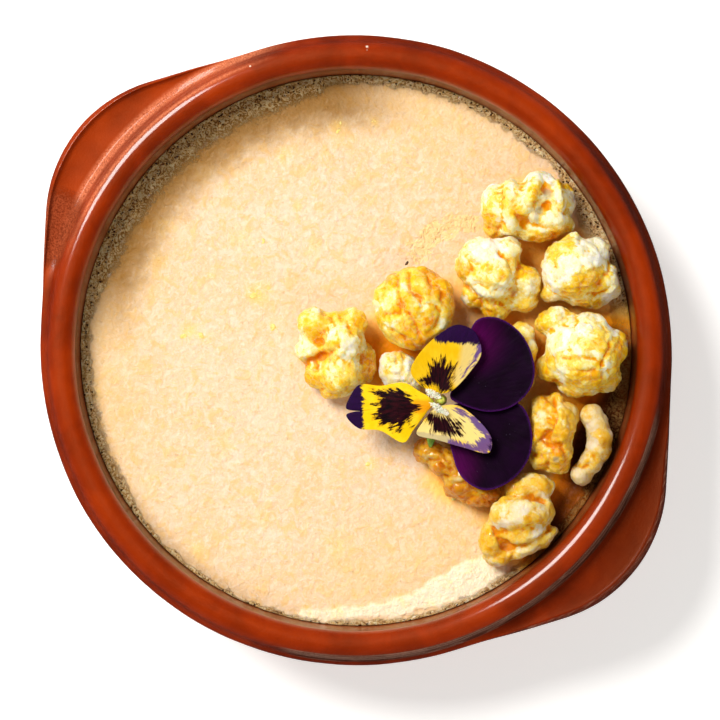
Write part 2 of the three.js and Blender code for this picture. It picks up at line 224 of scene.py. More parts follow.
class Value:
    """A node's socket that takes Python's arithmetic: each operator adds its Math node."""

    def __init__(self, finish, socket):
        self.finish = finish
        self.socket = socket

    def maths(self, operation, *values):
        return self.finish.node("Math", {"operation": operation}, dict(enumerate(values)))

    def __add__(self, other):
        return self.maths("ADD", self, other)

    __radd__ = __add__

    def __sub__(self, other):
        return self.maths("SUBTRACT", self, other)

    def __rsub__(self, other):
        return self.maths("SUBTRACT", other, self)

    def __mul__(self, other):
        return self.maths("MULTIPLY", self, other)

    __rmul__ = __mul__

    def most(self, other):
        return self.maths("MAXIMUM", self, other)


class Finish:
    """A material under construction. One method adds any node."""

    def __init__(self, name, **constants):
        self.material = bpy.data.materials.new(name)
        self.material.use_nodes = True
        self.tree = self.material.node_tree
        self.tree.nodes.clear()
        self.output = self.tree.nodes.new("ShaderNodeOutputMaterial")
        self.shader = self.tree.nodes.new("ShaderNodeBsdfPrincipled")
        self.tree.links.new(self.shader.outputs[0], self.output.inputs["Surface"])
        for key, value in constants.items():
            self.shader.inputs[key.replace("_", " ")].default_value = value
        self.base = None  # the base colour so far, which lay adds to
        place = self.node("TexCoord", out="Object")
        self.place = self.node("VectorMath", {"operation": "SCALE"}, {0: place, "Scale": 1000.0})

    def node(self, kind, settings=None, sockets=None, out=0):
        """Adds a node: its type, its settings, the values or links of its sockets, its output."""
        made = self.tree.nodes.new("ShaderNode" + kind)
        for key, value in (settings or {}).items():
            if key == "stops":
                self.set_stops(made.color_ramp, value)
            else:
                setattr(made, key, value)
        for key, value in (sockets or {}).items():
            socket = made.inputs[key]
            if isinstance(value, Value):
                self.tree.links.new(value.socket, socket)
            else:
                socket.default_value = value
        return Value(self, made.outputs[out])

    def set_stops(self, ramp, stops):
        """Gives a ramp its stops, each a position and a colour."""
        while len(ramp.elements) < len(stops):
            ramp.elements.new(0.5)
        for element, (position, colour) in zip(ramp.elements, sorted(stops)):
            element.position = position
            element.color = colour

    def put(self, **links):
        """Feeds the shader's sockets."""
        for key, value in links.items():
            self.tree.links.new(value.socket, self.shader.inputs[key.replace("_", " ")])

    def mix(self, factor, a, b, blend="MIX"):
        """Colour a where the factor is 0, and b, or a blended with it, where it is 1."""
        settings = {"data_type": "RGBA", "blend_type": blend, "clamp_factor": True}
        return self.node("Mix", settings, {0: factor, 6: a, 7: b}, out=2)

    def lay(self, factor, shade, blend="MIX"):
        """Mixes a colour over the base colour so far."""
        self.base = self.mix(factor, self.base, shade, blend)

    def spread(self, value, low, high, start=0.0, end=1.0):
        """Smoothly from start to end as the value goes from low to high."""
        settings = {"interpolation_type": "SMOOTHSTEP"}
        sockets = {"Value": value, "From Min": low, "From Max": high, "To Min": start, "To Max": end}
        return self.node("MapRange", settings, sockets)

    def ramp(self, value, stops):
        return self.node("ValToRGB", {"stops": stops}, {"Fac": value})

    def clouds(self, scale, detail=4.0, rough=0.5, place=None, warp=0.0):
        """Noise with features of about 1 / scale millimetres."""
        sockets = {"Vector": place or self.place, "Scale": scale, "Detail": detail,
                   "Roughness": rough, "Distortion": warp}
        return self.node("TexNoise", {}, sockets)

    def cells(self, scale):
        """How far a place is from the nearest of many scattered points."""
        return self.node("TexVoronoi", {}, {"Vector": self.place, "Scale": scale})

    def attribute(self, name):
        return self.node("Attribute", {"attribute_name": name}, out="Fac")

    def vector(self, operation, *values, out=0):
        return self.node("VectorMath", {"operation": operation}, dict(enumerate(values)), out=out)

    def point(self, x, y, z):
        return self.node("CombineXYZ", {}, {0: x, 1: y, 2: z})

    def axis(self, name):
        return self.node("SeparateXYZ", {}, {0: self.place}, out=name)

    def towards(self, degrees):
        """How far a place lies out from the middle in a direction round the dish."""
        way = (math.cos(math.radians(degrees)), math.sin(math.radians(degrees)), 0.0)
        return self.vector("DOT_PRODUCT", self.place, way, out="Value")

    def near(self, point, radius):
        """1 at a point, given in millimetres, falling to 0 at a radius round it."""
        gap = self.vector("DISTANCE", self.place, point, out="Value")
        return self.spread(gap, 0.0, radius, 1.0, 0.0)

    def near_any(self, spots):
        """The same for spots, each a pixel of the photograph, a height and a radius."""
        return reduce(Value.most, [
            self.near(under_pixel(px, py, height), radius) for px, py, height, radius in spots
        ])

    def bump(self, height, distance, strength=1.0, normal=None):
        """A normal from a height; distance is the depth in millimetres of a height of 1."""
        sockets = {"Height": height, "Distance": distance * MM, "Strength": strength}
        if normal is not None:
            sockets["Normal"] = normal
        return self.node("Bump", {}, sockets)


def colour(values):
    """A setting's colour with full cover, for a colour socket."""
    return (*values, 1.0)


# ---------------------------------------------------------------- modelling by hand


SLICES = 12  # a spun piece is made in this many like slices


def deselect():
    """Goes back to object mode with nothing selected."""
    if bpy.context.object is not None and bpy.context.object.mode != "OBJECT":
        bpy.ops.object.mode_set(mode="OBJECT")
    bpy.ops.object.select_all(action="DESELECT")


def pick(*objects):
    """Selects these objects alone; the last is the active one."""
    deselect()
    for chosen in objects:
        chosen.select_set(True)
        bpy.context.view_layer.objects.active = chosen
    return objects[-1]


def edit(made):
    """Goes into edit mode with the whole of one object selected."""
    pick(made)
    bpy.ops.object.mode_set(mode="EDIT")
    bpy.ops.mesh.select_all(action="SELECT")


def joined(objects):
    """Makes one object of several, with its place and turn applied."""
    pick(*objects)
    if len(objects) > 1:
        bpy.ops.object.join()
    bpy.ops.object.transform_apply(location=True, rotation=True, scale=True)
    return bpy.context.object


def apply(chosen, kind, **settings):
    """Adds a modifier, sets it and applies it."""
    pick(chosen)
    bpy.ops.object.modifier_add(type=kind)
    added = chosen.modifiers[-1]
    for key, value in settings.items():
        setattr(added, key, value)
    bpy.ops.object.modifier_apply(modifier=added.name)


def of_vertices(made, name):
    """A row of three numbers for each vertex, such as its place."""
    flat = np.empty(len(made.data.vertices) * 3)
    made.data.vertices.foreach_get(name, flat)
    return flat.reshape(-1, 3)


def coordinates(made):
    return of_vertices(made, "co")


def normals(made):
    return of_vertices(made, "normal")


def move_to(made, places):
    made.data.vertices.foreach_set("co", np.ascontiguousarray(places, dtype=float).ravel())
    made.data.update()


def paint(made, name, values):
    """Keeps a number for each vertex, which the material reads by name."""
    layer = made.data.attributes.new(name, "FLOAT", "POINT")
    layer.data.foreach_set("value", np.asarray(values, dtype=np.float32))


def evened(made, values, rounds):
    """Values averaged with those of neighbouring vertices, a number of times."""
    pairs = np.empty(len(made.data.edges) * 2, dtype=np.int64)
    made.data.edges.foreach_get("vertices", pairs)
    one, other = pairs.reshape(-1, 2).T
    count = len(values)
    share = 1.0 / (1.0 + np.bincount(pairs, minlength=count))
    columns = [values] if values.ndim == 1 else list(values.T)
    for _ in range(rounds):
        columns = [
            (column + np.bincount(one, column[other], count)
             + np.bincount(other, column[one], count)) * share
            for column in columns
        ]
    return columns[0] if values.ndim == 1 else np.stack(columns, axis=1)


def ball(u, v, height, half_sizes, turn):
    """A ball along the photograph's axes, in millimetres, turned by a number of degrees."""
    deselect()
    bpy.ops.mesh.primitive_ico_sphere_add(
        subdivisions=4, radius=MM, location=row_place(u, v, height),
        rotation=(0.0, 0.0, TURN + math.radians(turn)), scale=half_sizes)
    return bpy.context.object


def spun(name, profile, steps):
    """A line of points (radius, height), in millimetres, turned round the upright axis.
    One slice is spun, then the slice is repeated the rest of the way round."""
    deselect()
    bpy.ops.mesh.primitive_plane_add(size=MM)
    made = bpy.context.object
    made.name = name
    bpy.ops.object.mode_set(mode="EDIT")
    bpy.ops.mesh.select_all(action="SELECT")
    bpy.ops.mesh.merge(type="CENTER")
    at = Vector((profile[0][0], 0.0, profile[0][1])) * MM
    bpy.ops.transform.translate(value=at)
    for radius, height in profile[1:]:
        to = Vector((radius, 0.0, height)) * MM
        bpy.ops.mesh.extrude_region_move(TRANSFORM_OT_translate={"value": to - at})
        at = to
    bpy.ops.mesh.select_all(action="SELECT")
    axis = {"center": (0.0, 0.0, 0.0), "axis": (0.0, 0.0, 1.0)}
    slice_angle = 2.0 * math.pi / SLICES
    bpy.ops.mesh.spin(steps=steps // SLICES, angle=slice_angle, **axis)
    bpy.ops.mesh.select_all(action="SELECT")
    bpy.ops.mesh.spin(
        steps=SLICES - 1, angle=slice_angle * (SLICES - 1), dupli=True, **axis)
    bpy.ops.mesh.select_all(action="SELECT")
    bpy.ops.mesh.remove_doubles(threshold=0.002 * MM)
    bpy.ops.mesh.normals_make_consistent(inside=False)
    bpy.ops.object.mode_set(mode="OBJECT")
    return made


def curve_through(a, b, c, steps):
    """A quadratic curve from a to c that bends round b."""
    t = np.linspace(0.0, 1.0, steps + 1)[:, None]
    a, b, c = (np.array(point, dtype=float) for point in (a, b, c))
    return (1 - t) ** 2 * a + 2 * t * (1 - t) * b + t ** 2 * c


def smooth_line(points, steps, closed=False):
    """A smooth line through points, with a number of steps from each to the next."""
    points = np.array(points, dtype=float)
    count = len(points)
    spans = count if closed else count - 1
    line = []
    for span in range(spans):
        if closed:
            near = [points[(span + k) % count] for k in (-1, 0, 1, 2)]
        else:
            near = [points[min(max(span + k, 0), count - 1)] for k in (-1, 0, 1, 2)]
        gaps = [max(float(np.linalg.norm(near[k + 1] - near[k])), 1e-6) ** 0.5 for k in range(3)]
        t0 = 0.0
        t1 = t0 + gaps[0]
        t2 = t1 + gaps[1]
        t3 = t2 + gaps[2]
        for step in range(steps):
            t = t1 + (t2 - t1) * step / steps
            a1 = near[0] * (t1 - t) / (t1 - t0) + near[1] * (t - t0) / (t1 - t0)
            a2 = near[1] * (t2 - t) / (t2 - t1) + near[2] * (t - t1) / (t2 - t1)
            a3 = near[2] * (t3 - t) / (t3 - t2) + near[3] * (t - t2) / (t3 - t2)
            b1 = a1 * (t2 - t) / (t2 - t0) + a2 * (t - t0) / (t2 - t0)
            b2 = a2 * (t3 - t) / (t3 - t1) + a3 * (t - t1) / (t3 - t1)
            line.append(b1 * (t2 - t) / (t2 - t1) + b2 * (t - t1) / (t2 - t1))
    if not closed:
        line.append(points[-1])
    return np.array(line)


def cloud(places, size, seed=0.0, octaves=3):
    """Soft noise, about -1 to 1, at points in millimetres; size is that of its features."""
    shift = Vector((seed * 17.3, seed * -9.1, seed * 5.7))
    return np.array([
        noise.fractal(Vector(place) / size + shift, 1.0, 2.0, octaves) for place in places
    ])


def from_span(u, v, start, end):
    """Distance of points to the line between two points, and the share of the way along it."""
    du, dv = end[0] - start[0], end[1] - start[1]
    t = ((u - start[0]) * du + (v - start[1]) * dv) / (du * du + dv * dv + 1e-12)
    t = np.clip(t, 0.0, 1.0)
    return np.hypot(u - start[0] - t * du, v - start[1] - t * dv), t


def from_stroke(u, v, stroke):
    """Distance of points to a line of points, and the share of the way along it."""
    best = np.full(len(u), 1e9)
    along = np.zeros(len(u))
    spans = len(stroke) - 1
    for k in range(spans):
        gap, t = from_span(u, v, stroke[k], stroke[k + 1])
        nearer = gap < best
        best = np.where(nearer, gap, best)
        along = np.where(nearer, (k + t) / spans, along)
    return best, along


def finished(made, name, material, slot, *nodes):
    """Names a piece, gives it its finish and ties it to the model."""
    pick(made)
    made.name = name
    made.data.name = name
    made.data.materials.clear()
    made.data.materials.append(material)
    bpy.ops.object.shade_smooth()
    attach(made, "root")
    if nodes:
        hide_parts(*nodes)
    return made


# ---------------------------------------------------------------- the clay dish


def handle_reach(angles):
    """How far the handles' outline stands out past the rim at angles round the dish."""
    off = np.abs(np.arcsin(np.sin(angles)))
    centre = HANDLE_REACH - HANDLE_NOSE
    lean = math.acos((HANDLE_ROOT - HANDLE_NOSE) / centre)
    nose_end = math.atan2(HANDLE_NOSE * math.sin(lean), centre + HANDLE_NOSE * math.cos(lean))
    across = np.minimum(centre * np.sin(off), HANDLE_NOSE)
    nose = centre * np.cos(off) + np.sqrt(HANDLE_NOSE ** 2 - across ** 2)
    side = HANDLE_ROOT / np.cos(np.clip(lean - off, 0.0, 1.2))
    hull = np.where(off < nose_end, nose, np.where(off < lean, side, HANDLE_ROOT))
    fade = 1.0 - ease(off, lean * HANDLE_FADE_START, HANDLE_FADE)
    return (hull - RIM_RADIUS) * fade


def dish_profile():
    """The dish's section, from the middle underneath, up the outside, over the rim and down.
    Each point is its radius, height, share of the handle's reach and lift on a handle."""
    ledge = DISH_HEIGHT - LEDGE
    foot = DISH_HEIGHT - BEAD_RISE
    under = [(BASE_RADIUS * k / 24.0, 0.0) for k in range(24)]
    root_radius, _, root_height, _ = SHOULDER[-1]
    outside = curve_through(
        (BASE_RADIUS, 0.0), OUTSIDE_BULGE, (root_radius, ledge + root_height), 22)
    shoulder = smooth_line(
        [(radius, ledge + height, share, lift)
         for radius, share, height, lift in reversed(SHOULDER)], 5)
    turns = np.linspace(0.0, math.pi, 25)
    bead = [
        (BEAD_RADIUS + BEAD_HALF_WIDTH * math.cos(turn), foot + BEAD_RISE * math.sin(turn))
        for turn in turns
    ]
    inside = curve_through(
        (WALL_INSIDE, WALL_TOP), INSIDE_BULGE, (FLOOR_RADIUS, BASE_THICKNESS), 20)
    floor = [(FLOOR_RADIUS * (1 - k / 8.0), BASE_THICKNESS) for k in range(1, 9)]
    plain = [(*point, 0.0, 0.0) for point in (*under, *outside[:-1])]
    rest = [(*point, 0.0, 0.0) for point in (*bead, *inside, *floor)]
    return [*plain, *(tuple(point) for point in shoulder), *rest]


# directions round the dish, in degrees: of painted shade on the side away from the main light, of a
# painted highlight on the other handle, and of grit
RIGHT_SIDE = 40.0
FAR_HANDLE = 172.0
NEAR_HANDLE = -20.0
# spots where the clay is rubbed bare: pixel of the photograph, height and radius
WORN = ((55, 218, 31.5, 13.0), (50, 245, 31.0, 9.0))
NICK_HEIGHT = 35.6
# nicks in the rim: pixel of the photograph and radius
NICKS = (
    (367, 46, 0.64), (367, 50, 0.48), (79, 306, 0.72), (80, 311, 0.48), (250, 66, 0.4),
    (590, 133, 0.4), (112, 255, 0.32), (617, 563, 0.8), (610, 548, 0.4),
)


def clay_finish(settings):
    """Red-brown glaze, thick and thin, with specks, dust, grit and bare clay, and painted light,
    shade and highlights.
    """
    made = Finish("clay_glaze_finish", IOR=1.4, Coat_IOR=1.44, Coat_Roughness=0.12,
                  Specular_IOR_Level=0.45, Specular_Tint=over(255, 168, 112))
    along = made.axis("X")
    height = made.axis("Z")
    flat = made.vector("MULTIPLY", made.place, (1.0, 1.0, 0.0))
    radius = made.vector("LENGTH", flat, out="Value")
    broad = made.clouds(0.045, 3.0, 0.55)
    patchy = made.clouds(0.16, 5.0, 0.6, warp=0.6)
    # rings left by turning, close together up the section
    rings = made.clouds(1.1, 3.0, 0.6, place=made.point(radius, height, broad * 3.0))
    grain = made.clouds(2.4, 6.0, 0.7)
    fine = made.clouds(7.0, 4.0, 0.6)

    tone = made.spread(broad * 0.6 + patchy * 0.3 + grain * 0.12 + rings * 0.06, 0.36, 0.76)
    made.base = made.ramp(tone, [
        (0.0, colour(settings.glaze_dark)), (0.45, colour(settings.glaze)),
        (1.0, colour(settings.glaze_bright))])
    crest = made.spread(height, 33.6, 35.9)
    made.lay(crest * 0.2, colour(settings.glaze_bright))
    # the inside wall is discoloured brown, and painted paler where it takes the light of the flan
    wall = made.spread(radius, 62.8, 62.0) * made.spread(height, 33.9, 33.2)
    made.lay(wall * 0.7, made.mix(grain, over(176, 104, 56), over(126, 64, 28)))
    # darker in the groove behind the rim
    groove = made.spread(radius, 67.6, 68.6) * made.spread(height, 33.4, 32.2)
    made.lay(groove * 0.2, colour(settings.glaze_dark))
    # darker still on the side away from the main light, and warmer on the lit handle
    flank = made.spread(radius, 66.0, 68.0) * made.spread(height, 35.8, 34.6)
    right = made.towards(RIGHT_SIDE)
    made.lay(flank * made.spread(right, 40.0, 60.0) * 0.7, over(62, 12, 0))
    inner = made.spread(radius, 65.6, 64.0) * made.spread(right, 20.0, 56.0)
    made.lay(inner * 0.35, over(94, 20, 0))
    sunny = made.spread(radius, 69.0, 71.0) * made.spread(along, -52.0, -64.0)
    made.lay(sunny * made.spread(broad, 0.3, 0.6, 0.3, 0.7), over(170, 56, 4))
    # a speckled painted highlight behind the rim, on the other handle
    away = made.towards(FAR_HANDLE)
    painted_highlight = made.spread(radius, 66.4, 67.4) * made.spread(radius, 71.6, 70.2)
    painted_highlight = painted_highlight * (1 - made.spread(radius, 67.2, 67.9) * made.spread(radius, 69.3, 68.6) * 0.75)
    painted_highlight = painted_highlight * made.spread(away, 58.0, 65.0) * made.spread(grain * 0.6 + fine * 0.5, 0.36, 0.7)
    made.lay(painted_highlight * 0.85, over(236, 140, 98))
    # dark specks and pale dust in the glaze
    speck = made.cells(0.9)
    specks = made.spread(speck + fine * 0.12, 0.16, 0.1) * made.spread(patchy, 0.5, 0.62)
    made.lay(specks * 0.55, over(70, 16, 4))
    dust = made.cells(1.7)
    dusting = made.spread(dust + grain * 0.1, 0.13, 0.08) * made.spread(broad, 0.48, 0.6)
    made.lay(dusting * 0.3, over(214, 120, 84))

    # bare, rubbed clay: one handle's side, the lips of the handles, nicks, the foot
    worn = made.near_any(WORN)
    rubbed = made.spread(worn * 1.1 + (grain - 0.5) * 0.9 - 0.1, 0.3, 0.75)
    # grit left in the groove behind the rim and under the lip, on the one handle
    near_side = made.towards(NEAR_HANDLE)
    grit = made.spread(radius, 67.1, 67.8) * made.spread(radius, 69.5, 68.8)
    grit = grit * made.spread(height, 36.0, 35.2) * made.spread(near_side, 40.0, 54.0)
    dulled = made.spread(radius, 66.4, 68.4) * made.spread(along, 20.0, 48.0)
    ear = made.spread(radius, 68.2, 69.4)
    lip = made.spread(height, 31.6, 32.0).most(made.spread(height, 31.0, 30.2))
    lip = lip * made.spread(radius, 70.2, 71.4) * made.spread(along, 30.0, 50.0)
    grit = grit.most(lip * 0.6)
    lines_at = made.point(radius * 3.0, height * 3.0, broad * 6.0)
    lines = made.clouds(1.0, 3.0, 0.6, place=lines_at)
    gritty = made.spread(grit * (grain * 0.9 + lines * 0.9), 0.34, 0.8)
    grains = made.spread(fine * 0.4 + lines * 0.6, 0.44, 0.64)
    made.lay(gritty * 0.9, made.mix(grains, over(60, 28, 18), over(160, 118, 98)))
    under = made.spread(height, 1.2, 0.5)
    nicks = made.near_any([(px, py, NICK_HEIGHT, radius) for px, py, radius in NICKS])
    nicked = made.spread(nicks + (fine - 0.5) * 1.3, 0.42, 0.55)
    bare = rubbed.most(under)
    rough = bare.most(nicked).most(gritty)
    clay = made.mix(made.spread(grain, 0.35, 0.65), over(110, 38, 16), colour(settings.bare_clay))
    made.lay(bare * 0.9, clay)
    made.lay(nicked, over(238, 206, 184))

    coat = (1 - rough) * made.spread(grain, 0.2, 0.7, 0.95, 0.7)
    relief = broad * 0.35 + rings * 0.02 + patchy * 0.06
    normal = made.bump(relief, 1.0, 0.4)
    normal = made.bump(fine + grain * 1.2 + patchy - specks * 0.6, 0.09, 0.8, normal)
    normal = made.bump(bare.most(gritty) * grain - nicked, 0.3, 0.8, normal)
    made.put(
        Base_Color=made.base,
        Roughness=made.spread(rough + grain * 0.2 + ear * 0.25, 0.0, 1.1, 0.30, 0.75),
        Coat_Weight=coat * (1 - dulled * 0.9) * (1 - ear * 0.6),
        Normal=normal,
    )
    return made.material


BATCH = 4000  # points that are compared with the section at a time
RIM_WAVES = 3.0
WALL_WAVE = 9.0


class FLAN_OT_dish(bpy.types.Operator):
    """Turns the clay dish on its section and draws out its two handles"""

    bl_idname = "flan.make_dish"
    bl_label = "Clay Dish"

    def execute(self, context):
        settings = context.scene.flan_dish
        section = dish_profile()
        dish = spun("dish", [point[:2] for point in section], settings.sections)
        places = coordinates(dish) / MM
        radius = np.hypot(places[:, 0], places[:, 1])
        angle = np.arctan2(places[:, 1], places[:, 0])
        kinds = np.array(section)
        nearest = np.empty(len(places), dtype=int)
        for start in range(0, len(places), BATCH):
            part = slice(start, start + BATCH)
            gap = (radius[part, None] - kinds[None, :, 0]) ** 2
            gap += (places[part, 2, None] - kinds[None, :, 1]) ** 2
            nearest[part] = gap.argmin(axis=1)
        reach = handle_reach(angle)
        ear = ease(reach, 0.0, HANDLE_FULL)
        out = radius + kinds[nearest, 2] * reach
        height = places[:, 2] + kinds[nearest, 3] * ear
        # the maker's hand: slow waves in the rim and wall
        wander = cloud(np.stack([
            np.cos(angle) * RIM_WAVES, np.sin(angle) * RIM_WAVES, height / WALL_WAVE
        ], axis=1), 1.0, 3)
        amount = settings.unevenness / MM * ease(height, 4.0, 20.0)
        out = out + wander * amount
        height = height + np.roll(wander, 7) * amount * 0.4
        move_to(dish, np.stack([out * np.cos(angle), out * np.sin(angle), height], axis=1) * MM)
        finished(dish, "clay_dish", clay_finish(settings), "clay_glaze", "dish")
        return {"FINISHED"}


# ---------------------------------------------------------------- the flan


# froth at the edge: from and to, in degrees round the photograph, and its width
FROTH = ((98, 168, 4.6), (168, 215, 1.9), (215, 290, 0.5), (290, 330, 1.2), (330, 398, 3.4),
         (40, 95, 1.6))
# soft yellow bits of corn just under the skin: pixel, radius and strength
CORN = (
    (338, 125, 1.5, 0.8), (375, 120, 1.2, 0.7), (281, 155, 1.6, 0.5), (202, 172, 2.2, 0.35),
    (162, 225, 1.8, 0.4), (157, 259, 1.6, 0.6), (240, 238, 2.6, 0.3), (296, 203, 1.0, 0.5),
    (314, 249, 1.5, 0.35), (104, 286, 0.8, 1.0), (256, 293, 1.8, 0.85), (210, 275, 0.7, 0.7),
    (268, 287, 0.8, 0.7), (188, 330, 1.6, 0.7), (202, 336, 1.2, 0.6), (272, 327, 0.8, 0.8),
    (96, 391, 0.8, 0.8), (225, 447, 1.6, 0.3), (370, 465, 1.4, 0.8), (150, 480, 1.8, 0.3),
    (335, 549, 2.2, 0.5), (196, 552, 1.8, 0.6), (262, 520, 2.0, 0.25), (306, 610, 1.0, 0.9),
    (335, 612, 1.2, 0.6), (120, 345, 1.4, 0.3), (320, 470, 2.4, 0.2), (420, 560, 1.6, 0.25),
)
# the white foam at the near edge: pixels along it and its half width at each
FOAM = ((306, 616, 1.7), (345, 617, 1.7), (395, 611, 2.3), (440, 596, 3.4), (478, 578, 4.2),
        (500, 566, 3.2))
# the torn patch beside the upper popcorn: pixels along it
TEAR = ((418, 250), (438, 232), (468, 222))
# stretches of the edge: the middle and half the width, in degrees round the photograph
SHADED_SYRUP_STRETCH = (-22.0, 36.0)
TAN_STRETCH = (-60.0, 50.0)
SHADE_STRETCH = (128.0, 56.0)
FAINT_SHADE_STRETCH = (150.0, 130.0)
BUBBLE_STRETCH = (110.0, 120.0)
# rings of the flan's skin lie this far apart, and closer from FINE_FROM to the edge
RING_GAP = 0.75
FINE_RING_GAP = 0.36
FINE_FROM = 48.0
WALL_GAP = 0.3  # from the flan's side to the dish
SWELL = 0.10
ROUGHNESS = 0.06
CLIMB = 0.5  # how far the edge climbs the wall, and how steeply
CLIMB_POWER = 14
SYRUP_AND_SHADE_REACH = 9.0
# dimples and bits in the surface: pixel of the photograph, radius and depth
DIMPLES = (
    (375, 210, 1.4, 0.14), (337, 548, 1.5, 0.12), (398, 497, 1.6, 0.10), (190, 330, 2.2, 0.12),
    (440, 240, 5.0, 0.12), (210, 340, 1.2, 0.08), (250, 294, 1.2, -0.10), (300, 215, 1.5, 0.05),
    (375, 122, 1.3, -0.08), (338, 125, 1.2, -0.08), (104, 287, 0.8, -0.14), (96, 391, 0.9, -0.14),
)


def froth_at(u, v):
    """How much froth lies at points of the flan."""
    radius = np.hypot(u, v)
    turn = np.degrees(np.arctan2(v, u))
    width = np.full(len(u), 0.5)
    for start, end, wide in FROTH:
        middle = (start + end) / 2.0
        off = np.abs((turn - middle + 180.0) % 360.0 - 180.0)
        width = np.maximum(width, wide * (1.0 - ease(off, (end - start) * 0.35, (end - start) * 0.7)))
    ragged = cloud(np.stack([u, v, v * 0.0], axis=1), 2.4, 8, 4) * 0.9
    return ease(radius + ragged, FLAN_RADIUS - width * 1.5, FLAN_RADIUS - width * 0.3)


def round_window(u, v, middle, half):
    """1 in the middle of a stretch of the dish's edge, in degrees, and 0 beyond its ends."""
    off = np.abs((np.degrees(np.arctan2(v, u)) - middle + 180.0) % 360.0 - 180.0)
    return 1.0 - ease(off, half * 0.55, half)


def custard_finish(settings):
    """Pale cream with curd, corn, pores, froth, foam and syrup on it, and painted shade."""
    made = Finish("custard_finish", IOR=1.42, Subsurface_Weight=0.3, Subsurface_Scale=0.0014,
                  Subsurface_Radius=(1.0, 0.7, 0.4), Specular_IOR_Level=0.12,
                  Coat_Roughness=0.2)
    froth = made.attribute("froth")
    amber = made.attribute("amber")
    torn = made.attribute("torn")
    broad = made.clouds(0.04, 4.0, 0.55)
    patch = made.clouds(0.22, 5.0, 0.6, warp=0.8)
    skin = made.clouds(0.75, 3.0, 0.5)
    fine = made.clouds(4.5, 4.0, 0.6)
    made.base = made.mix(made.spread(broad, 0.35, 0.65), colour(settings.cream), over(228, 195, 153))
    made.lay(made.spread(patch, 0.5, 0.75) * 0.45, over(225, 186, 133))
    made.lay(made.spread(skin, 0.5, 0.7) * 0.4, over(237, 213, 186))
    # fine bits of corn all through
    bits = made.cells(0.42)
    kernel = made.spread(bits + fine * 0.3, 0.3, 0.16) * made.spread(patch, 0.5, 0.6)
    made.lay(kernel * 0.35, colour(settings.corn))
    made.lay(made.attribute("corn") * made.spread(skin, 0.3, 0.6, 0.6, 1.0),
             colour(settings.corn))
    # curd: pale and warmer cream run together, and fine creases in the skin
    curd = made.clouds(1.1, 2.5, 0.5, warp=1.2)
    made.lay(made.spread(curd, 0.5, 0.7) * 0.5, over(237, 217, 195))
    made.lay(made.spread(curd, 0.48, 0.3) * 0.5, over(231, 190, 136))
    flecks = made.clouds(0.36, 3.0, 0.5, warp=1.0)
    made.lay(made.spread(flecks, 0.52, 0.66) * 0.55, over(235, 190, 119))
    made.lay(made.spread(flecks, 0.46, 0.34) * 0.5, over(235, 213, 188))
    # the froth: bubbles, open pits, and grey-olive skin between them
    bubbles = made.cells(1.0)
    made.lay(made.spread(torn * made.spread(curd, 0.3, 0.6, 0.3, 1.6), 0.4, 0.9) * 0.7,
             made.mix(skin, over(250, 226, 168), over(248, 206, 126)))
    tan = made.attribute("tan")
    made.lay(tan * 0.42, over(232, 190, 116))
    made.lay(made.attribute("shade"), over(164, 142, 102), "MULTIPLY")
    fibres = made.clouds(0.9, 5.0, 0.66, warp=2.2)
    frothy = made.spread(froth + (fibres - 0.5) * 1.6 + (fine - 0.5) * 0.6, 0.2, 0.9)
    matted = made.ramp(made.spread(fibres, 0.36, 0.6), [
        (0.0, over(116, 74, 30)), (0.4, over(198, 144, 76)), (0.66, over(228, 188, 120)),
        (1.0, colour(settings.froth))])
    matted = made.mix(made.attribute("shade") * 0.35, matted, over(206, 180, 140), "MULTIPLY")
    made.lay(frothy * 0.85, matted)
    # painted shade: the open pits near the wall are drawn dark brown
    hole = made.spread(bubbles + (fibres - 0.5) * 0.8, 0.27, 0.18)
    hole = hole * made.spread(froth * 0.8 + made.attribute("wall") * 1.4, 1.1, 2.0)
    made.lay(hole, over(66, 34, 12))
    foam = made.attribute("foam")
    foamy = foam * made.spread(curd, 0.3, 0.5, 0.7, 1.0)
    made.lay(foamy, over(246, 228, 196))
    made.lay(foam * made.spread(patch, 0.5, 0.7) * 0.45, over(250, 226, 140))
    made.lay(foam * made.spread(curd, 0.42, 0.3) * 0.25, over(240, 212, 150))
    # syrup with painted shade: amber where the gaps between the popcorn gather it, darkening to near
    # black where shade falls between them and by the far wall
    syrup_and_shade_level = amber + (patch - 0.5) * 0.3
    syrup_and_shade_cover = made.spread(syrup_and_shade_level, 0.3, 0.75)
    made.lay(syrup_and_shade_cover * 0.85, over(255, 196, 84))
    made.lay(made.spread(syrup_and_shade_level, 0.65, 1.1), over(250, 158, 14))
    made.lay(made.spread(syrup_and_shade_level, 1.1, 1.6), over(190, 100, 4))
    made.lay(made.spread(syrup_and_shade_level, 1.6, 2.2), over(84, 36, 2))
    scum = frothy * made.spread(syrup_and_shade_level, 0.8, 1.4) * made.spread(fibres, 0.4, 0.6)
    made.lay(scum * 0.7, over(170, 132, 76))
    # painted shade: the fine pores are drawn a little darker
    pores = made.spread(made.cells(2.1) + fine * 0.25, 0.2, 0.12) * made.spread(skin, 0.5, 0.6)
    made.lay(pores * 0.18, over(226, 180, 112))
    relief = skin + fine * 0.06 + curd * 0.35 + flecks * 0.8 - pores * 0.8
    relief = relief + frothy * fibres * 3.4 - hole * 1.5 + foam * curd * 0.6
    normal = made.bump(relief + torn * (curd - 0.5) * 1.6, 0.32, 1.0)
    made.put(
        Base_Color=made.base,
        Roughness=made.spread(skin + frothy, 0.3, 1.2, 0.34, 0.6),
        Coat_Weight=made.spread(patch, 0.3, 0.7, 0.15, 0.45) * (1 - syrup_and_shade_cover),
        Normal=normal,
    )
    return made.material


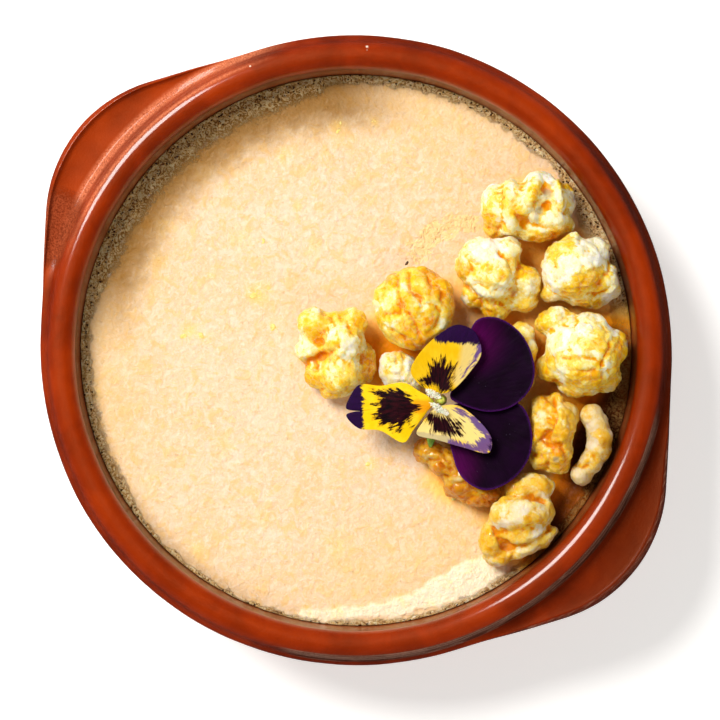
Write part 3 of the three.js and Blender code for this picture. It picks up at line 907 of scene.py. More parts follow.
class FLAN_OT_custard(bpy.types.Operator):
    """Fills the dish with flan and works its surface"""

    bl_idname = "flan.make_custard"
    bl_label = "Flan"

    def execute(self, context):
        settings = context.scene.flan_custard
        inner = np.arange(0.0, FINE_FROM, RING_GAP)
        outer = np.arange(FINE_FROM, FLAN_RADIUS - 0.55, FINE_RING_GAP)
        top = [(radius, FLAN_LEVEL) for radius in (*inner, *outer)]
        edge = [(FLAN_RADIUS - 0.3, FLAN_LEVEL), (FLAN_RADIUS, FLAN_LEVEL + 0.03),
                (FLAN_RADIUS + 0.3, FLAN_LEVEL + 0.12), (FLAN_RADIUS + 0.36, FLAN_LEVEL - 0.1),
                (FLAN_RADIUS + 0.2, FLAN_LEVEL - 0.6)]
        wall = curve_through(
            (WALL_INSIDE, WALL_TOP), INSIDE_BULGE, (FLOOR_RADIUS, BASE_THICKNESS), 30)
        side = [(r - WALL_GAP, z + WALL_GAP) for r, z in wall if z < FLAN_LEVEL - 1.2]
        under = [(r, BASE_THICKNESS + WALL_GAP) for r in (30.0, 15.0, 0.0)]
        flan = spun("flan_top", [*top, *edge, *side, *under], settings.sections)
        places = coordinates(flan)
        u, v, z = photo_axes(places)
        radius = np.hypot(u, v)
        on_top = ease(z, FLAN_LEVEL - 0.6, FLAN_LEVEL - 0.1)
        flat = np.stack([u, v, np.zeros(len(u))], axis=1)
        froth = froth_at(u, v)
        slow = cloud(flat, 14.0, 1, 2)
        rough = cloud(flat, 2.6, 2, 2)
        bubbly = cloud(flat, 0.9, 5, 3)
        relief = settings.relief / MM
        lift = slow * SWELL + rough * ROUGHNESS
        lift += CLIMB * (np.minimum(radius, FLAN_RADIUS) / FLAN_RADIUS) ** CLIMB_POWER
        lift += froth * (bubbly * relief + rough * relief * 0.6)
        foam = np.zeros(len(u))
        for (px0, py0, w0), (px1, py1, w1) in zip(FOAM, FOAM[1:]):
            gap, along = from_span(u, v, from_pixel(px0, py0), from_pixel(px1, py1))
            half = w0 + (w1 - w0) * along
            foam = np.maximum(foam, 1.0 - ease(gap + rough * 1.1 + bubbly * 0.4, half - 1.0, half))
        lift += foam * (0.2 + bubbly * relief * 0.2 + rough * 0.1)
        for px, py, size, depth in DIMPLES:
            du, dv = from_pixel(px, py)
            gap = np.hypot(u - du, v - dv)
            lift -= depth * (1.0 - ease(gap, 0.0, size))
        tear, _ = from_stroke(u, v, [from_pixel(*at) for at in TEAR])
        torn = 1.0 - ease(tear + bubbly * 1.2 + rough * 1.6, 1.2, 3.8)
        lift += torn * rough * 0.12
        places[:, 2] += lift * on_top * MM
        move_to(flan, places)
        # syrup and painted shade gather between the pieces of popcorn, and darker syrup with painted
        # shade lies by the far wall
        amber = np.zeros(len(u))
        for piece in POPCORN.values():
            gap = np.hypot(u - piece["at"][0], v - piece["at"][1])
            amber += np.exp(-(gap / SYRUP_AND_SHADE_REACH) ** 2)
        amber += 1.7 * ease(radius, 50.0, 58.0) * round_window(u, v, *SHADED_SYRUP_STRETCH)
        paint(flan, "froth", froth)
        paint(flan, "torn", torn)
        paint(flan, "amber", np.clip(amber, 0.0, 2.5))
        away = ease(v * 0.8 - u * 0.6, -10.0, 40.0)
        shore = ease(radius, 40.0, FLAN_RADIUS) * (0.25 + 0.75 * away)
        shore = np.maximum(
            shore, 0.8 * ease(radius, 26.0, 58.0) * round_window(u, v, *TAN_STRETCH))
        paint(flan, "tan", shore)
        shade = ease(radius + rough * 1.2, 46.0, 55.0) * round_window(u, v, *SHADE_STRETCH)
        shade = np.maximum(
            shade, 0.6 * ease(radius, 57.0, 61.5) * round_window(u, v, *FAINT_SHADE_STRETCH))
        upper = round_window(u, v, *BUBBLE_STRETCH)
        paint(flan, "wall", ease(radius, 59.8 - 4.3 * upper, 61.4 - 0.9 * upper))
        paint(flan, "shade", shade)
        paint(flan, "foam", foam)
        corn = np.zeros(len(u))
        for px, py, size, amount in CORN:
            du, dv = from_pixel(px, py)
            gap = np.hypot(u - du, (v - dv) * 0.9) + rough * 0.5
            corn = np.maximum(corn, amount * np.exp(-(np.maximum(gap, 0.0) / size) ** 2))
        paint(flan, "corn", corn)
        finished(flan, "corn_flan", custard_finish(settings), "custard", "flan")
        return {"FINISHED"}


# ---------------------------------------------------------------- the popcorn


# Each piece, in millimetres from its own middle along the photograph's axes.
# at: the middle on the flan, and how far it is lifted. tone: how much caramel shows where
# no dab lies. lobes: place, half sizes and, where it is turned, the turn in degrees.
# creases: lines pressed into it, their width and depth. dabs: u, v, radius and how much
# caramel shows there, from 0 for white to 1 for dark. dull: the same for greyish bare skin,
# and for painted shade in some folds.
# dusk: painted shade, how much darker and browner the whole piece is drawn. crackle: how
# strong its flakes are. fat: how much thicker it stays when the lobes are drawn in. fill: as
# FILL, for this piece.
POPCORN = {
    "popcorn_left": {
        "at": (-4.4, -0.4, 0.0), "tone": 0.3,
        "lobes": (
            (1.8, 2.0, 6.6, 4.6, 5.5, 6.4), (-4.9, 6.2, 4.6, 3.9, 3.9, 4.8),
            (4.0, 6.6, 5.8, 3.1, 3.2, 4.4), (-6.2, 0.2, 4.0, 2.9, 3.0, 3.8),
            (1.4, -4.9, 5.8, 5.2, 4.8, 5.6), (-4.2, -5.4, 3.2, 2.9, 2.9, 3.2),
            (6.5, -2.4, 3.4, 2.4, 4.8, 3.4), (-1.1, -8.0, 3.2, 2.8, 2.7, 3.1),
            (0.4, 7.0, 4.8, 3.2, 2.2, 4.2),
        ),
        "creases": (
            (((-8.0, -3.4), (-5.0, -1.6), (-1.6, -0.2), (0.3, 0.8)), 0.7, 1.3),
            (((0.4, 0.2), (0.3, 3.0), (-0.2, 5.6), (-1.4, 7.8)), 0.5, 0.9),
            (((4.6, 8.2), (2.4, 7.0), (3.4, 4.6), (5.6, 3.4)), 0.5, 0.6),
            (((6.0, 2.4), (5.6, -1.6), (5.2, -6.0)), 0.6, 0.5),
        ),
        "dabs": (
            (-4.5, 7.2, 2.2, 0.28), (-6.8, 1.2, 2.2, 0.04), (-4.2, 3.4, 1.6, 0.62),
            (-1.5, 3.6, 0.9, 0.0), (0.2, 2.2, 0.7, 0.75), (2.2, 3.2, 1.8, 0.05),
            (2.8, 0.6, 1.6, 0.03), (0.5, 8.4, 1.1, 0.55), (3.4, 5.0, 1.1, 0.55),
            (5.3, 6.8, 1.2, 0.8), (-3.0, -0.8, 1.1, 0.88), (-6.3, -3.2, 1.1, 0.82),
            (1.2, -4.0, 3.0, 0.3), (7.2, -1.8, 1.2, 0.78), (7.6, -4.6, 1.3, 0.84),
            (6.0, -3.2, 0.8, 0.6), (-5.5, -4.6, 1.2, 0.6), (-6.6, -6.0, 1.1, 0.76),
            (-3.8, -7.4, 1.2, 0.72), (-1.4, -9.6, 1.3, 0.6),
        ),
    },
    "popcorn_round": {
        "at": (12.9, 9.3, 0.0), "tone": 0.5, "crackle": 0.8,
        "lobes": (
            (0.0, 0.0, 7.2, 8.9, 9.2, 7.2), (-6.2, 2.2, 8.2, 3.2, 3.6, 3.2),
            (1.1, 6.2, 8.8, 3.4, 3.2, 3.2), (-0.6, 1.6, 12.0, 2.4, 3.6, 2.9),
            (-2.1, -4.1, 9.6, 3.7, 3.3, 3.4), (3.4, -2.0, 10.2, 2.9, 3.7, 3.2),
            (5.6, 3.2, 8.6, 3.1, 3.4, 3.2),
        ),
        "creases": (
            (((-4.0, 7.6), (-3.8, 4.0), (-3.0, 1.0), (-3.6, -1.2), (-6.4, -1.4)), 0.6, 1.1),
            (((-1.3, 7.6), (-1.0, 4.0), (1.2, 2.4), (1.6, 0.4)), 0.5, 0.9),
            (((-3.0, -1.2), (-1.0, -1.4), (0.4, -4.0), (1.4, -7.0)), 0.5, 0.9),
            (((1.0, 1.2), (4.6, 0.6), (5.8, -1.0), (5.0, -4.0), (3.0, -5.6)), 0.5, 0.9),
            (((2.6, 8.4), (3.6, 5.4), (5.6, 4.6), (6.6, 1.0)), 0.5, 0.8),
            (((-6.6, -4.0), (-4.6, -5.4), (-2.0, -7.2), (0.4, -8.0)), 0.5, 0.8),
        ),
        "dabs": (
            (-6.5, 2.3, 2.2, 0.28), (-8.6, 0.2, 1.0, 0.02), (-4.0, 5.8, 0.9, 0.7),
            (-3.9, 2.2, 0.5, 0.1), (-2.7, 0.6, 1.1, 0.82), (-3.6, -0.8, 1.2, 0.82),
            (-2.2, 4.6, 0.7, 0.1), (-1.2, 6.2, 0.8, 0.65), (-1.0, 3.4, 0.5, 0.75),
            (0.8, 5.6, 1.4, 0.35), (-0.2, 1.6, 1.0, 0.35), (3.4, 6.6, 1.4, 0.7),
            (4.4, 4.2, 1.2, 0.8), (6.2, 3.0, 1.0, 0.92), (7.9, 1.0, 1.1, 0.78),
            (3.6, 2.0, 1.0, 0.4), (6.7, -0.2, 0.6, 0.12), (2.3, 0.3, 0.6, 0.05),
            (1.6, -2.0, 0.8, 0.25), (3.0, -2.6, 1.0, 0.75), (6.0, -3.6, 1.1, 0.06),
            (-3.4, -3.6, 1.3, 0.35), (-1.5, -4.6, 1.0, 0.68), (-5.6, -3.8, 0.8, 0.12),
            (-3.6, -6.6, 1.2, 0.72), (0.0, -7.0, 1.5, 0.78), (1.6, -8.6, 1.2, 0.88),
            (-3.2, -8.6, 0.8, 0.2),
        ),
    },
    "popcorn_small": {
        "at": (9.3, -4.6, 0.0), "tone": 0.15,
        "lobes": (
            (0.3, 0.0, 4.2, 4.4, 4.3, 4.3), (-1.8, 2.0, 5.2, 2.5, 2.4, 3.1),
            (2.8, -1.8, 4.6, 3.0, 3.0, 3.4),
        ),
        "creases": (
            (((1.2, 3.2), (1.4, 0.6), (0.6, -0.8), (-1.4, -0.8)), 0.5, 0.7),
            (((-0.2, 2.6), (-0.4, 0.6)), 0.4, 0.5),
        ),
        "dabs": (
            (-3.4, 1.6, 1.2, 0.02), (-1.2, 2.0, 1.1, 0.3), (-2.9, 0.4, 0.5, 0.6),
            (-1.8, -0.4, 0.5, 0.55), (0.6, 2.6, 0.8, 0.42), (1.0, 0.6, 0.7, 0.42),
            (2.6, 1.8, 1.0, 0.08), (-1.6, -2.2, 2.0, 0.03), (2.8, -1.6, 1.0, 0.05),
        ),
        "dull": ((0.0, -0.7, 1.2, 0.5),),
    },
    "popcorn_upper": {
        "at": (31.4, 16.2, 0.0), "tone": 0.16,
        "lobes": (
            (-1.1, 0.4, 7.2, 6.0, 6.0, 7.0), (-3.8, 4.4, 7.6, 4.8, 4.6, 5.6),
            (2.0, 5.8, 6.8, 3.5, 3.4, 4.6), (6.3, -1.3, 5.6, 3.6, 4.0, 4.8),
            (5.6, -4.9, 4.5, 3.4, 2.9, 4.0), (-0.4, -6.8, 4.5, 3.2, 2.8, 3.8),
            (-5.4, -4.2, 3.8, 2.7, 2.6, 3.5), (-7.0, 2.2, 5.0, 2.6, 3.3, 4.0),
        ),
        "creases": (
            (((-7.0, -2.2), (-4.6, -4.2), (-2.2, -5.6), (0.6, -5.8)), 0.5, 1.0),
            (((-5.0, -1.9), (-1.0, -2.6), (2.0, -3.4), (5.0, -2.8)), 0.7, 0.8),
            (((1.8, -2.4), (3.0, 0.6), (2.4, 3.6), (0.2, 5.0)), 0.5, 0.7),
            (((4.0, -1.6), (4.3, 1.4), (5.4, 5.0)), 0.5, 0.7),
            (((2.4, -7.6), (0.6, -6.2), (-1.4, -6.4)), 0.4, 0.6),
            (((-6.8, 5.0), (-6.2, 1.6), (-7.2, -0.6)), 0.5, 0.5),
        ),
        "dabs": (
            (-2.4, 2.2, 0.7, 0.6), (1.1, 0.3, 0.9, 0.68), (-5.8, 1.4, 0.5, 0.45),
            (-8.3, 2.5, 0.8, 0.55), (-8.2, 0.6, 0.9, 0.6), (4.8, 1.0, 0.8, 0.6),
            (2.6, 4.2, 1.0, 0.4), (-1.5, 5.6, 2.4, 0.0), (2.0, 6.4, 1.2, 0.02),
            (-5.0, -5.8, 0.9, 0.85), (-2.2, -8.2, 1.3, 0.8), (0.0, -7.2, 1.0, 0.6),
            (2.0, -7.8, 0.9, 0.6), (3.4, -8.4, 0.6, 0.2), (9.8, -2.2, 0.8, 0.6),
            (8.6, -1.6, 1.0, 0.1), (9.0, -4.2, 0.8, 0.6), (6.0, -6.6, 1.2, 0.55),
            (-8.0, -2.0, 0.9, 0.65), (6.0, 1.2, 1.2, 0.45), (-2.6, -1.4, 0.8, 0.4),
        ),
        "dull": ((3.4, -3.2, 1.8, 0.55), (-0.4, -3.0, 1.4, 0.35)),
    },
    "popcorn_top": {
        "at": (38.7, 31.6, 0.1), "tone": 0.2,
        "lobes": (
            (-8.0, 0.2, 5.4, 3.1, 5.2, 5.0), (-7.6, -4.2, 3.8, 3.0, 2.8, 3.4),
            (-4.4, 0.2, 7.0, 3.1, 6.2, 6.0), (0.2, 1.4, 7.8, 3.4, 5.4, 6.0, -15.0),
            (2.0, 5.6, 6.4, 3.4, 2.7, 4.6), (6.0, 2.0, 6.6, 2.3, 4.4, 5.4, 10.0),
            (5.2, -2.7, 6.0, 3.7, 3.4, 5.2), (1.4, -5.0, 4.8, 6.2, 2.6, 4.2),
            (8.4, -4.0, 5.0, 1.6, 1.5, 1.7), (8.2, 2.0, 3.8, 1.9, 3.6, 3.5, 10.0),
        ),
        "creases": (
            (((3.2, 7.4), (3.0, 4.6), (2.2, 1.6), (0.2, -1.6), (-2.0, -3.6)), 1.2, 1.8),
            (((4.6, 5.0), (3.8, 1.0), (2.2, -1.4)), 1.2, 1.2),
            (((5.4, 1.2), (6.0, -0.6), (7.6, -1.6)), 0.4, 0.6),
            (((7.0, 5.6), (7.4, 2.0), (8.0, -1.4)), 0.5, 0.8),
            (((-6.2, 4.8), (-6.8, 1.0), (-6.4, -3.6), (-7.4, -6.0)), 0.6, 0.8),
            (((-4.2, 1.2), (-3.6, -1.6), (-1.8, -3.4), (1.4, -4.0), (4.6, -5.0)), 0.5, 0.7),
        ),
        "dabs": (
            (-8.2, 5.0, 1.4, 0.05), (-7.4, 2.6, 1.4, 0.48), (-9.0, -2.4, 1.1, 0.7),
            (-8.4, -5.4, 1.1, 0.68), (-3.0, 4.4, 1.8, 0.02), (-6.0, -1.8, 1.2, 0.03),
            (0.2, 4.4, 0.7, 0.55), (1.6, 4.4, 0.6, 0.7), (0.7, 3.0, 0.7, 0.68),
            (0.9, 0.8, 0.6, 0.6), (-3.4, -1.4, 0.9, 0.58), (-2.5, -3.0, 0.6, 0.5),
            (-1.6, -3.8, 0.6, 0.1), (3.2, 7.0, 1.4, 0.03), (7.8, 5.6, 1.0, 0.86),
            (9.8, 4.6, 0.8, 0.9), (9.0, 2.6, 1.0, 0.1), (4.5, -2.6, 2.0, 0.06),
            (8.8, -3.0, 0.6, 0.35), (8.6, -4.4, 0.6, 0.66), (1.5, -6.6, 1.0, 0.8),
            (5.2, -6.4, 1.2, 0.92), (-4.6, -7.4, 1.0, 0.6), (-1.0, -5.6, 1.2, 0.35),
        ),
        "dull": ((3.6, 2.8, 1.5, 0.9), (1.6, -0.8, 1.3, 0.85), (4.6, 5.0, 1.0, 0.7),
                 (6.0, 0.4, 1.2, 0.4), (9.0, -1.8, 0.8, 0.8)),
    },
    "popcorn_right_upper": {
        "at": (49.0, 17.6, 0.1), "tone": 0.1,
        "lobes": (
            (-0.9, 0.7, 7.9, 7.2, 6.8, 7.5), (-1.1, 7.0, 8.0, 1.8, 1.5, 1.8),
            (-5.5, -4.8, 4.4, 2.7, 2.3, 3.5), (2.0, -5.6, 4.6, 5.4, 2.5, 3.6),
            (4.4, -6.4, 3.3, 3.8, 2.0, 2.9, 15.0), (6.6, -2.0, 6.0, 2.5, 3.8, 5.0),
            (8.0, -4.4, 4.4, 1.8, 1.7, 2.0), (4.3, 4.2, 5.4, 3.0, 3.2, 4.4),
        ),
        "creases": (
            (((-3.5, -4.2), (0.0, -4.3), (2.6, -4.0), (4.6, -2.8), (5.6, -1.0)), 0.4, 0.7),
            (((-5.0, -5.2), (0.0, -5.5), (3.0, -5.0), (6.0, -4.6)), 0.35, 0.7),
            (((-1.0, -1.4), (2.0, -1.0), (4.6, 0.6)), 0.5, 0.3),
            (((5.8, -1.6), (7.0, 0.4), (7.4, 2.6)), 0.4, 0.5),
            (((-0.4, 5.4), (0.6, 6.6), (0.2, 7.6)), 0.4, 0.6),
            (((3.2, -6.8), (4.2, -5.4), (7.0, -4.0)), 0.4, 0.6),
            (((-6.0, 0.8), (-4.8, -1.6), (-5.6, -3.4)), 0.5, 0.3),
        ),
        "dabs": (
            (-2.6, 6.2, 1.1, 0.58), (-5.2, 4.8, 0.6, 0.55), (-5.4, 3.0, 0.9, 0.4),
            (-4.4, 3.2, 0.6, 0.5), (-8.4, -1.4, 0.5, 0.5), (-7.8, -3.8, 0.6, 0.6),
            (-7.0, -5.2, 0.8, 0.5), (1.0, -2.4, 1.6, 0.68), (3.4, -2.2, 1.6, 0.72),
            (4.8, -0.2, 0.9, 0.6), (4.6, -3.6, 1.0, 0.75), (0.0, -4.4, 1.4, 0.55),
            (-3.0, -4.6, 0.9, 0.6), (6.8, -1.0, 0.5, 0.7), (2.0, -7.2, 1.4, 0.62),
            (4.6, -7.2, 0.6, 0.8), (8.4, 1.4, 0.6, 0.75), (2.0, -5.6, 0.8, 0.25),
            (-4.0, -2.4, 1.8, 0.02), (2.0, 4.2, 2.0, 0.03),
        ),
        "dull": ((0.2, 7.0, 0.7, 0.8), (0.6, 5.4, 1.0, 0.5), (8.6, -5.4, 1.6, 0.6),
                 (6.0, -6.8, 1.4, 0.6)),
    },
    "popcorn_right": {
        "at": (49.9, -0.6, 0.1), "tone": 0.14,
        "lobes": (
            (0.4, -0.2, 8.2, 8.5, 8.0, 8.0), (-6.2, 7.2, 6.4, 4.2, 3.0, 4.5, 25.0),
            (1.3, 6.0, 7.2, 5.0, 2.9, 5.0), (-7.0, -3.3, 4.9, 3.0, 3.1, 4.2),
            (7.7, 1.4, 6.0, 2.6, 4.0, 5.0), (-0.4, -7.4, 4.6, 5.0, 2.6, 3.8),
            (6.0, -5.9, 4.8, 3.2, 2.6, 3.7, 30.0),
        ),
        "creases": (
            (((-4.4, -1.3), (0.0, -1.2), (3.0, -1.6), (4.6, -2.8), (4.4, -5.0)), 0.5, 0.8),
            (((6.6, 3.4), (5.8, 1.0), (4.6, -0.8), (4.2, -2.8)), 0.45, 0.8),
            (((-6.8, -1.0), (-6.0, -4.6), (-4.2, -6.8), (-2.0, -7.4)), 0.5, 0.8),
            (((-5.0, 6.0), (-2.0, 6.2), (-0.8, 8.0)), 0.5, 0.8),
            (((8.8, 6.0), (8.2, 2.6), (6.4, -0.4), (5.4, -4.0)), 0.4, 0.6),
            (((-3.4, -3.6), (0.4, -4.2), (2.4, -4.0)), 0.4, 0.6),
        ),
        "dabs": (
            (-8.4, 8.0, 1.4, 0.52), (-9.2, 5.6, 1.2, 0.7), (-5.6, 8.8, 1.0, 0.2),
            (-3.0, 9.4, 0.8, 0.35), (4.2, 2.6, 1.6, 0.52), (5.2, 1.2, 0.7, 0.6),
            (5.6, 0.0, 0.5, 0.7), (-2.4, -1.6, 1.2, 0.66), (0.0, -1.6, 1.0, 0.66),
            (-1.6, -3.4, 0.9, 0.3), (1.0, -3.0, 1.1, 0.4), (3.4, -2.2, 0.6, 0.84),
            (-5.8, -3.0, 1.4, 0.25), (-7.6, -1.6, 1.0, 0.62), (-8.0, -4.6, 1.0, 0.78),
            (-6.8, -6.4, 0.8, 0.84), (-1.0, -5.2, 1.8, 0.72), (2.0, -5.6, 1.4, 0.66),
            (4.4, -7.0, 0.9, 0.7), (0.0, -8.0, 1.6, 0.35), (-0.6, -9.6, 1.5, 0.7),
            (8.2, 1.4, 1.0, 0.68), (8.6, -0.4, 1.2, 0.68), (8.4, -2.8, 1.4, 0.68),
            (9.4, 4.4, 0.8, 0.6), (9.4, 6.0, 0.6, 0.6), (7.6, -6.2, 1.4, 0.62),
            (-2.0, 2.6, 3.4, 0.05),
        ),
        "dull": ((-0.4, 8.6, 0.8, 0.7), (4.4, -4.6, 0.9, 0.6), (6.6, -8.0, 1.2, 0.7),
                 (9.8, 2.0, 0.8, 0.7), (2.8, -8.8, 1.0, 0.6)),
    },
    "popcorn_folded": {
        "at": (44.2, -18.2, 0.0), "tone": 0.4, "dusk": 0.35,
        "lobes": (
            (1.0, 1.6, 6.2, 3.5, 5.4, 6.3), (-2.8, 5.6, 5.0, 2.6, 2.8, 4.8),
            (-3.1, 2.6, 5.6, 2.6, 2.7, 4.8), (-4.0, -0.8, 4.8, 2.1, 3.4, 4.7),
            (3.0, 3.8, 5.2, 2.3, 2.8, 4.8), (0.4, -4.4, 5.2, 3.6, 3.4, 5.2),
            (-3.5, -6.2, 4.0, 2.5, 2.3, 3.9), (0.5, -7.2, 3.8, 3.2, 2.0, 3.6),
            (0.1, 7.4, 5.6, 1.6, 1.5, 1.8),
        ),
        "creases": (
            (((-0.1, 8.0), (-0.2, 5.0), (-0.4, 2.6), (-1.2, 0.6), (-2.6, -1.2), (-4.6, -2.6)),
             0.5, 1.3),
            (((-1.4, -3.0), (0.6, -2.6), (1.8, -4.0), (2.4, -6.4)), 0.5, 1.0),
            (((-4.4, 2.2), (-2.6, 1.6), (-1.6, 1.8)), 0.4, 0.4),
            (((-4.8, -4.8), (-3.4, -5.6), (-2.2, -4.6)), 0.4, 0.5),
            (((-2.0, -7.8), (-1.6, -5.6), (-1.4, -4.0)), 0.4, 0.6),
        ),
        "dabs": (
            (-2.6, 7.0, 1.0, 0.66), (-4.2, 6.2, 0.7, 0.5), (-2.2, 5.0, 1.2, 0.45),
            (-3.4, 3.2, 0.8, 0.1), (-1.6, 3.6, 0.8, 0.55), (-4.4, 0.6, 1.0, 0.62),
            (-4.4, -1.6, 0.8, 0.55), (-2.9, 1.0, 0.7, 0.2), (-1.8, 0.2, 0.6, 0.7),
            (-2.0, -1.4, 0.9, 0.72), (0.6, 5.8, 0.8, 0.12), (2.6, 6.2, 1.2, 0.38),
            (1.6, 3.6, 1.0, 0.25), (4.0, 2.8, 1.2, 0.35), (4.0, -0.8, 1.2, 0.52),
            (1.6, -0.2, 1.6, 0.35), (2.4, -3.4, 1.0, 0.4), (-3.2, -3.0, 0.8, 0.3),
            (-3.6, -5.2, 0.9, 0.7), (-3.0, -6.8, 0.9, 0.7), (-1.8, -5.2, 0.6, 0.15),
            (0.4, -3.4, 1.0, 0.9), (-0.4, -4.0, 0.7, 0.86), (1.6, -4.8, 0.7, 0.8),
            (2.0, -6.6, 0.9, 0.68), (0.4, 8.0, 0.7, 0.6),
        ),
        "dull": ((0.0, -6.0, 0.9, 0.95), (-5.0, 4.6, 0.8, 0.4)),
    },
    "popcorn_crescent": {
        "at": (52.9, -20.5, 0.25), "tone": 0.2, "fill": 0.5, "fat": 0.45, "crackle": 0.5,
        "dusk": 0.6,
        "lobes": (
            (-0.7, 5.9, 4.8, 2.2, 2.2, 3.2), (0.6, 4.0, 4.6, 2.4, 2.6, 3.8),
            (1.2, 1.4, 4.4, 2.5, 2.8, 4.1), (0.8, -1.4, 4.2, 2.5, 2.8, 3.9),
            (-0.6, -4.0, 3.8, 2.3, 2.5, 3.4), (-2.8, -6.9, 3.4, 2.2, 2.4, 3.0),
        ),
        "creases": (
            (((-2.4, 5.4), (-1.2, 6.0)), 0.35, 0.4),
            (((0.6, -0.6), (2.6, -1.4)), 0.4, 0.5),
            (((-1.6, -1.6), (-0.6, -2.6), (0.0, -3.8)), 0.4, 0.5),
            (((-1.2, -4.8), (-2.6, -5.4), (-4.2, -5.0)), 0.5, 0.8),
        ),
        "dabs": (
            (-0.7, 3.3, 1.2, 0.02), (-1.2, 0.0, 1.1, 0.03), (1.0, 4.0, 1.2, 0.4),
            (2.0, 1.6, 1.0, 0.42), (-1.8, 5.8, 0.6, 0.55), (0.8, -1.0, 0.6, 0.5),
            (-0.8, -2.6, 0.6, 0.5), (1.6, -2.6, 1.0, 0.3), (-2.4, -4.8, 0.6, 0.5),
            (-3.6, -3.4, 0.9, 0.15), (2.8, 0.0, 0.8, 0.5),
        ),
        "dull": ((-3.0, -7.0, 1.6, 0.4), (1.0, -3.4, 1.0, 0.35)),
    },
    "popcorn_stacked": {
        "at": (36.2, -37.8, 0.25), "tone": 0.24, "fill": 0.4, "fat": 0.1, "crackle": 0.6,
        "dusk": 0.4,
        "lobes": (
            (3.4, 7.8, 4.8, 4.5, 2.7, 4.2, -8.0), (0.2, 6.6, 4.6, 3.4, 2.7, 4.2),
            (-0.4, 1.6, 7.6, 6.3, 4.2, 5.0), (5.6, 2.2, 4.6, 2.2, 3.0, 4.6),
            (0.9, -2.6, 5.0, 5.4, 3.5, 4.8), (-6.2, -4.2, 4.3, 2.8, 4.2, 4.2),
            (-4.8, -8.0, 3.4, 3.3, 2.2, 3.2), (2.2, -5.2, 3.9, 7.4, 2.2, 3.6, 27.0),
        ),
        "creases": (
            (((-2.6, 5.2), (0.4, 5.4), (3.0, 5.0), (5.4, 4.2)), 0.5, 1.2),
            (((-5.8, -1.6), (-4.8, -3.6), (-2.0, -5.4), (0.4, -5.8), (3.0, -4.8), (5.6, -3.2),
              (6.8, -1.8)), 0.5, 1.2),
            (((3.4, 3.2), (4.6, 1.4), (5.0, -0.2)), 0.35, 0.5),
            (((-4.6, -4.4), (-3.8, -5.8), (-1.4, -6.4), (-1.6, -8.6)), 0.5, 0.9),
            (((1.6, -1.2), (3.0, -1.6), (5.0, -0.4)), 0.35, 0.5),
            (((-6.8, -8.2), (-4.8, -8.4), (-3.0, -8.8)), 0.4, 0.5),
        ),
        "dabs": (
            (3.0, 7.2, 2.0, 0.36), (5.6, 7.6, 1.0, 0.46), (6.4, 7.8, 0.6, 0.6),
            # the dab at -2.0, 8.4 is painted shade: the top lobe's left side in shadow, drawn as
            # darker caramel
            (-2.0, 8.4, 1.6, 0.72), (5.6, 5.2, 0.8, 0.15), (-0.6, 1.6, 1.8, 0.0),
            (2.0, 2.6, 1.0, 0.1), (2.6, 1.6, 0.6, 0.45), (-5.4, 1.4, 0.9, 0.48),
            (-3.4, 3.6, 1.2, 0.35), (-3.6, -0.8, 1.2, 0.1), (-0.6, -1.6, 0.8, 0.52),
            (1.2, -2.0, 0.8, 0.5), (2.8, 0.4, 1.0, 0.5), (4.4, 0.2, 0.6, 0.78),
            (4.0, 2.4, 0.6, 0.03), (6.0, 1.8, 1.0, 0.4), (3.6, -2.2, 1.0, 0.08),
            (-2.4, -3.4, 1.2, 0.48), (1.0, -3.8, 1.2, 0.35), (-6.8, -3.4, 1.2, 0.6),
            (-6.6, -5.2, 1.2, 0.56), (-5.6, -2.8, 0.6, 0.25), (-4.2, -4.8, 0.8, 0.86),
            (-2.0, -5.8, 0.9, 0.8), (-3.6, -6.6, 0.8, 0.4), (-5.0, -8.0, 0.8, 0.66),
            (-2.4, -9.2, 1.0, 0.66), (0.0, -7.4, 1.2, 0.16), (4.6, -5.0, 1.4, 0.32),
        ),
        "dull": ((1.6, -4.4, 1.4, 0.5), (3.4, -6.0, 1.6, 0.35)),
    },
    "popcorn_lower": {
        "at": (22.1, -26.9, 0.0), "tone": 0.72, "crackle": 1.2, "dusk": 0.9,
        "lobes": (
            (-6.2, 4.2, 3.8, 3.6, 2.8, 3.6, -20.0), (-2.2, 2.0, 4.4, 3.8, 3.5, 4.2),
            (1.3, -1.8, 4.6, 4.2, 3.5, 4.4), (4.2, -5.2, 3.8, 3.5, 2.8, 3.5),
            (6.9, -5.0, 3.8, 3.3, 2.8, 3.6), (-0.4, -4.2, 2.7, 2.3, 1.8, 2.5),
        ),
        "creases": (
            (((-8.6, 3.2), (-6.4, 2.2), (-4.0, 2.8), (-2.6, 1.0), (-1.4, 0.2)), 0.5, 1.0),
            (((-3.2, 4.8), (-2.0, 2.4), (-0.8, 0.6)), 0.5, 0.8),
            (((-3.4, -1.0), (-1.4, -1.0), (0.6, -0.8)), 0.4, 0.7),
            (((-1.6, -2.4), (0.6, -2.8), (2.0, -2.4), (3.6, -3.6)), 0.4, 0.8),
            (((2.0, -6.8), (3.6, -5.6), (5.6, -5.2), (6.6, -6.8)), 0.4, 0.7),
        ),
        "dabs": (
            (-8.0, 7.0, 1.0, 0.72), (-7.4, 5.0, 1.5, 0.55), (-6.4, 3.6, 1.4, 0.32),
            (-4.8, 3.0, 0.8, 0.15), (-5.0, 5.6, 1.6, 0.75), (-2.6, 5.8, 1.4, 0.66),
            (-2.2, 3.2, 0.9, 0.4), (-1.2, 1.6, 0.6, 0.68), (-4.4, 0.8, 0.9, 0.75),
            (-6.2, 1.6, 0.6, 0.25), (-3.0, -0.2, 0.8, 0.45), (-0.6, -1.8, 1.1, 0.06),
            (0.8, -1.6, 0.8, 0.1), (0.0, -3.0, 0.9, 0.78), (1.6, -3.8, 1.0, 0.72),
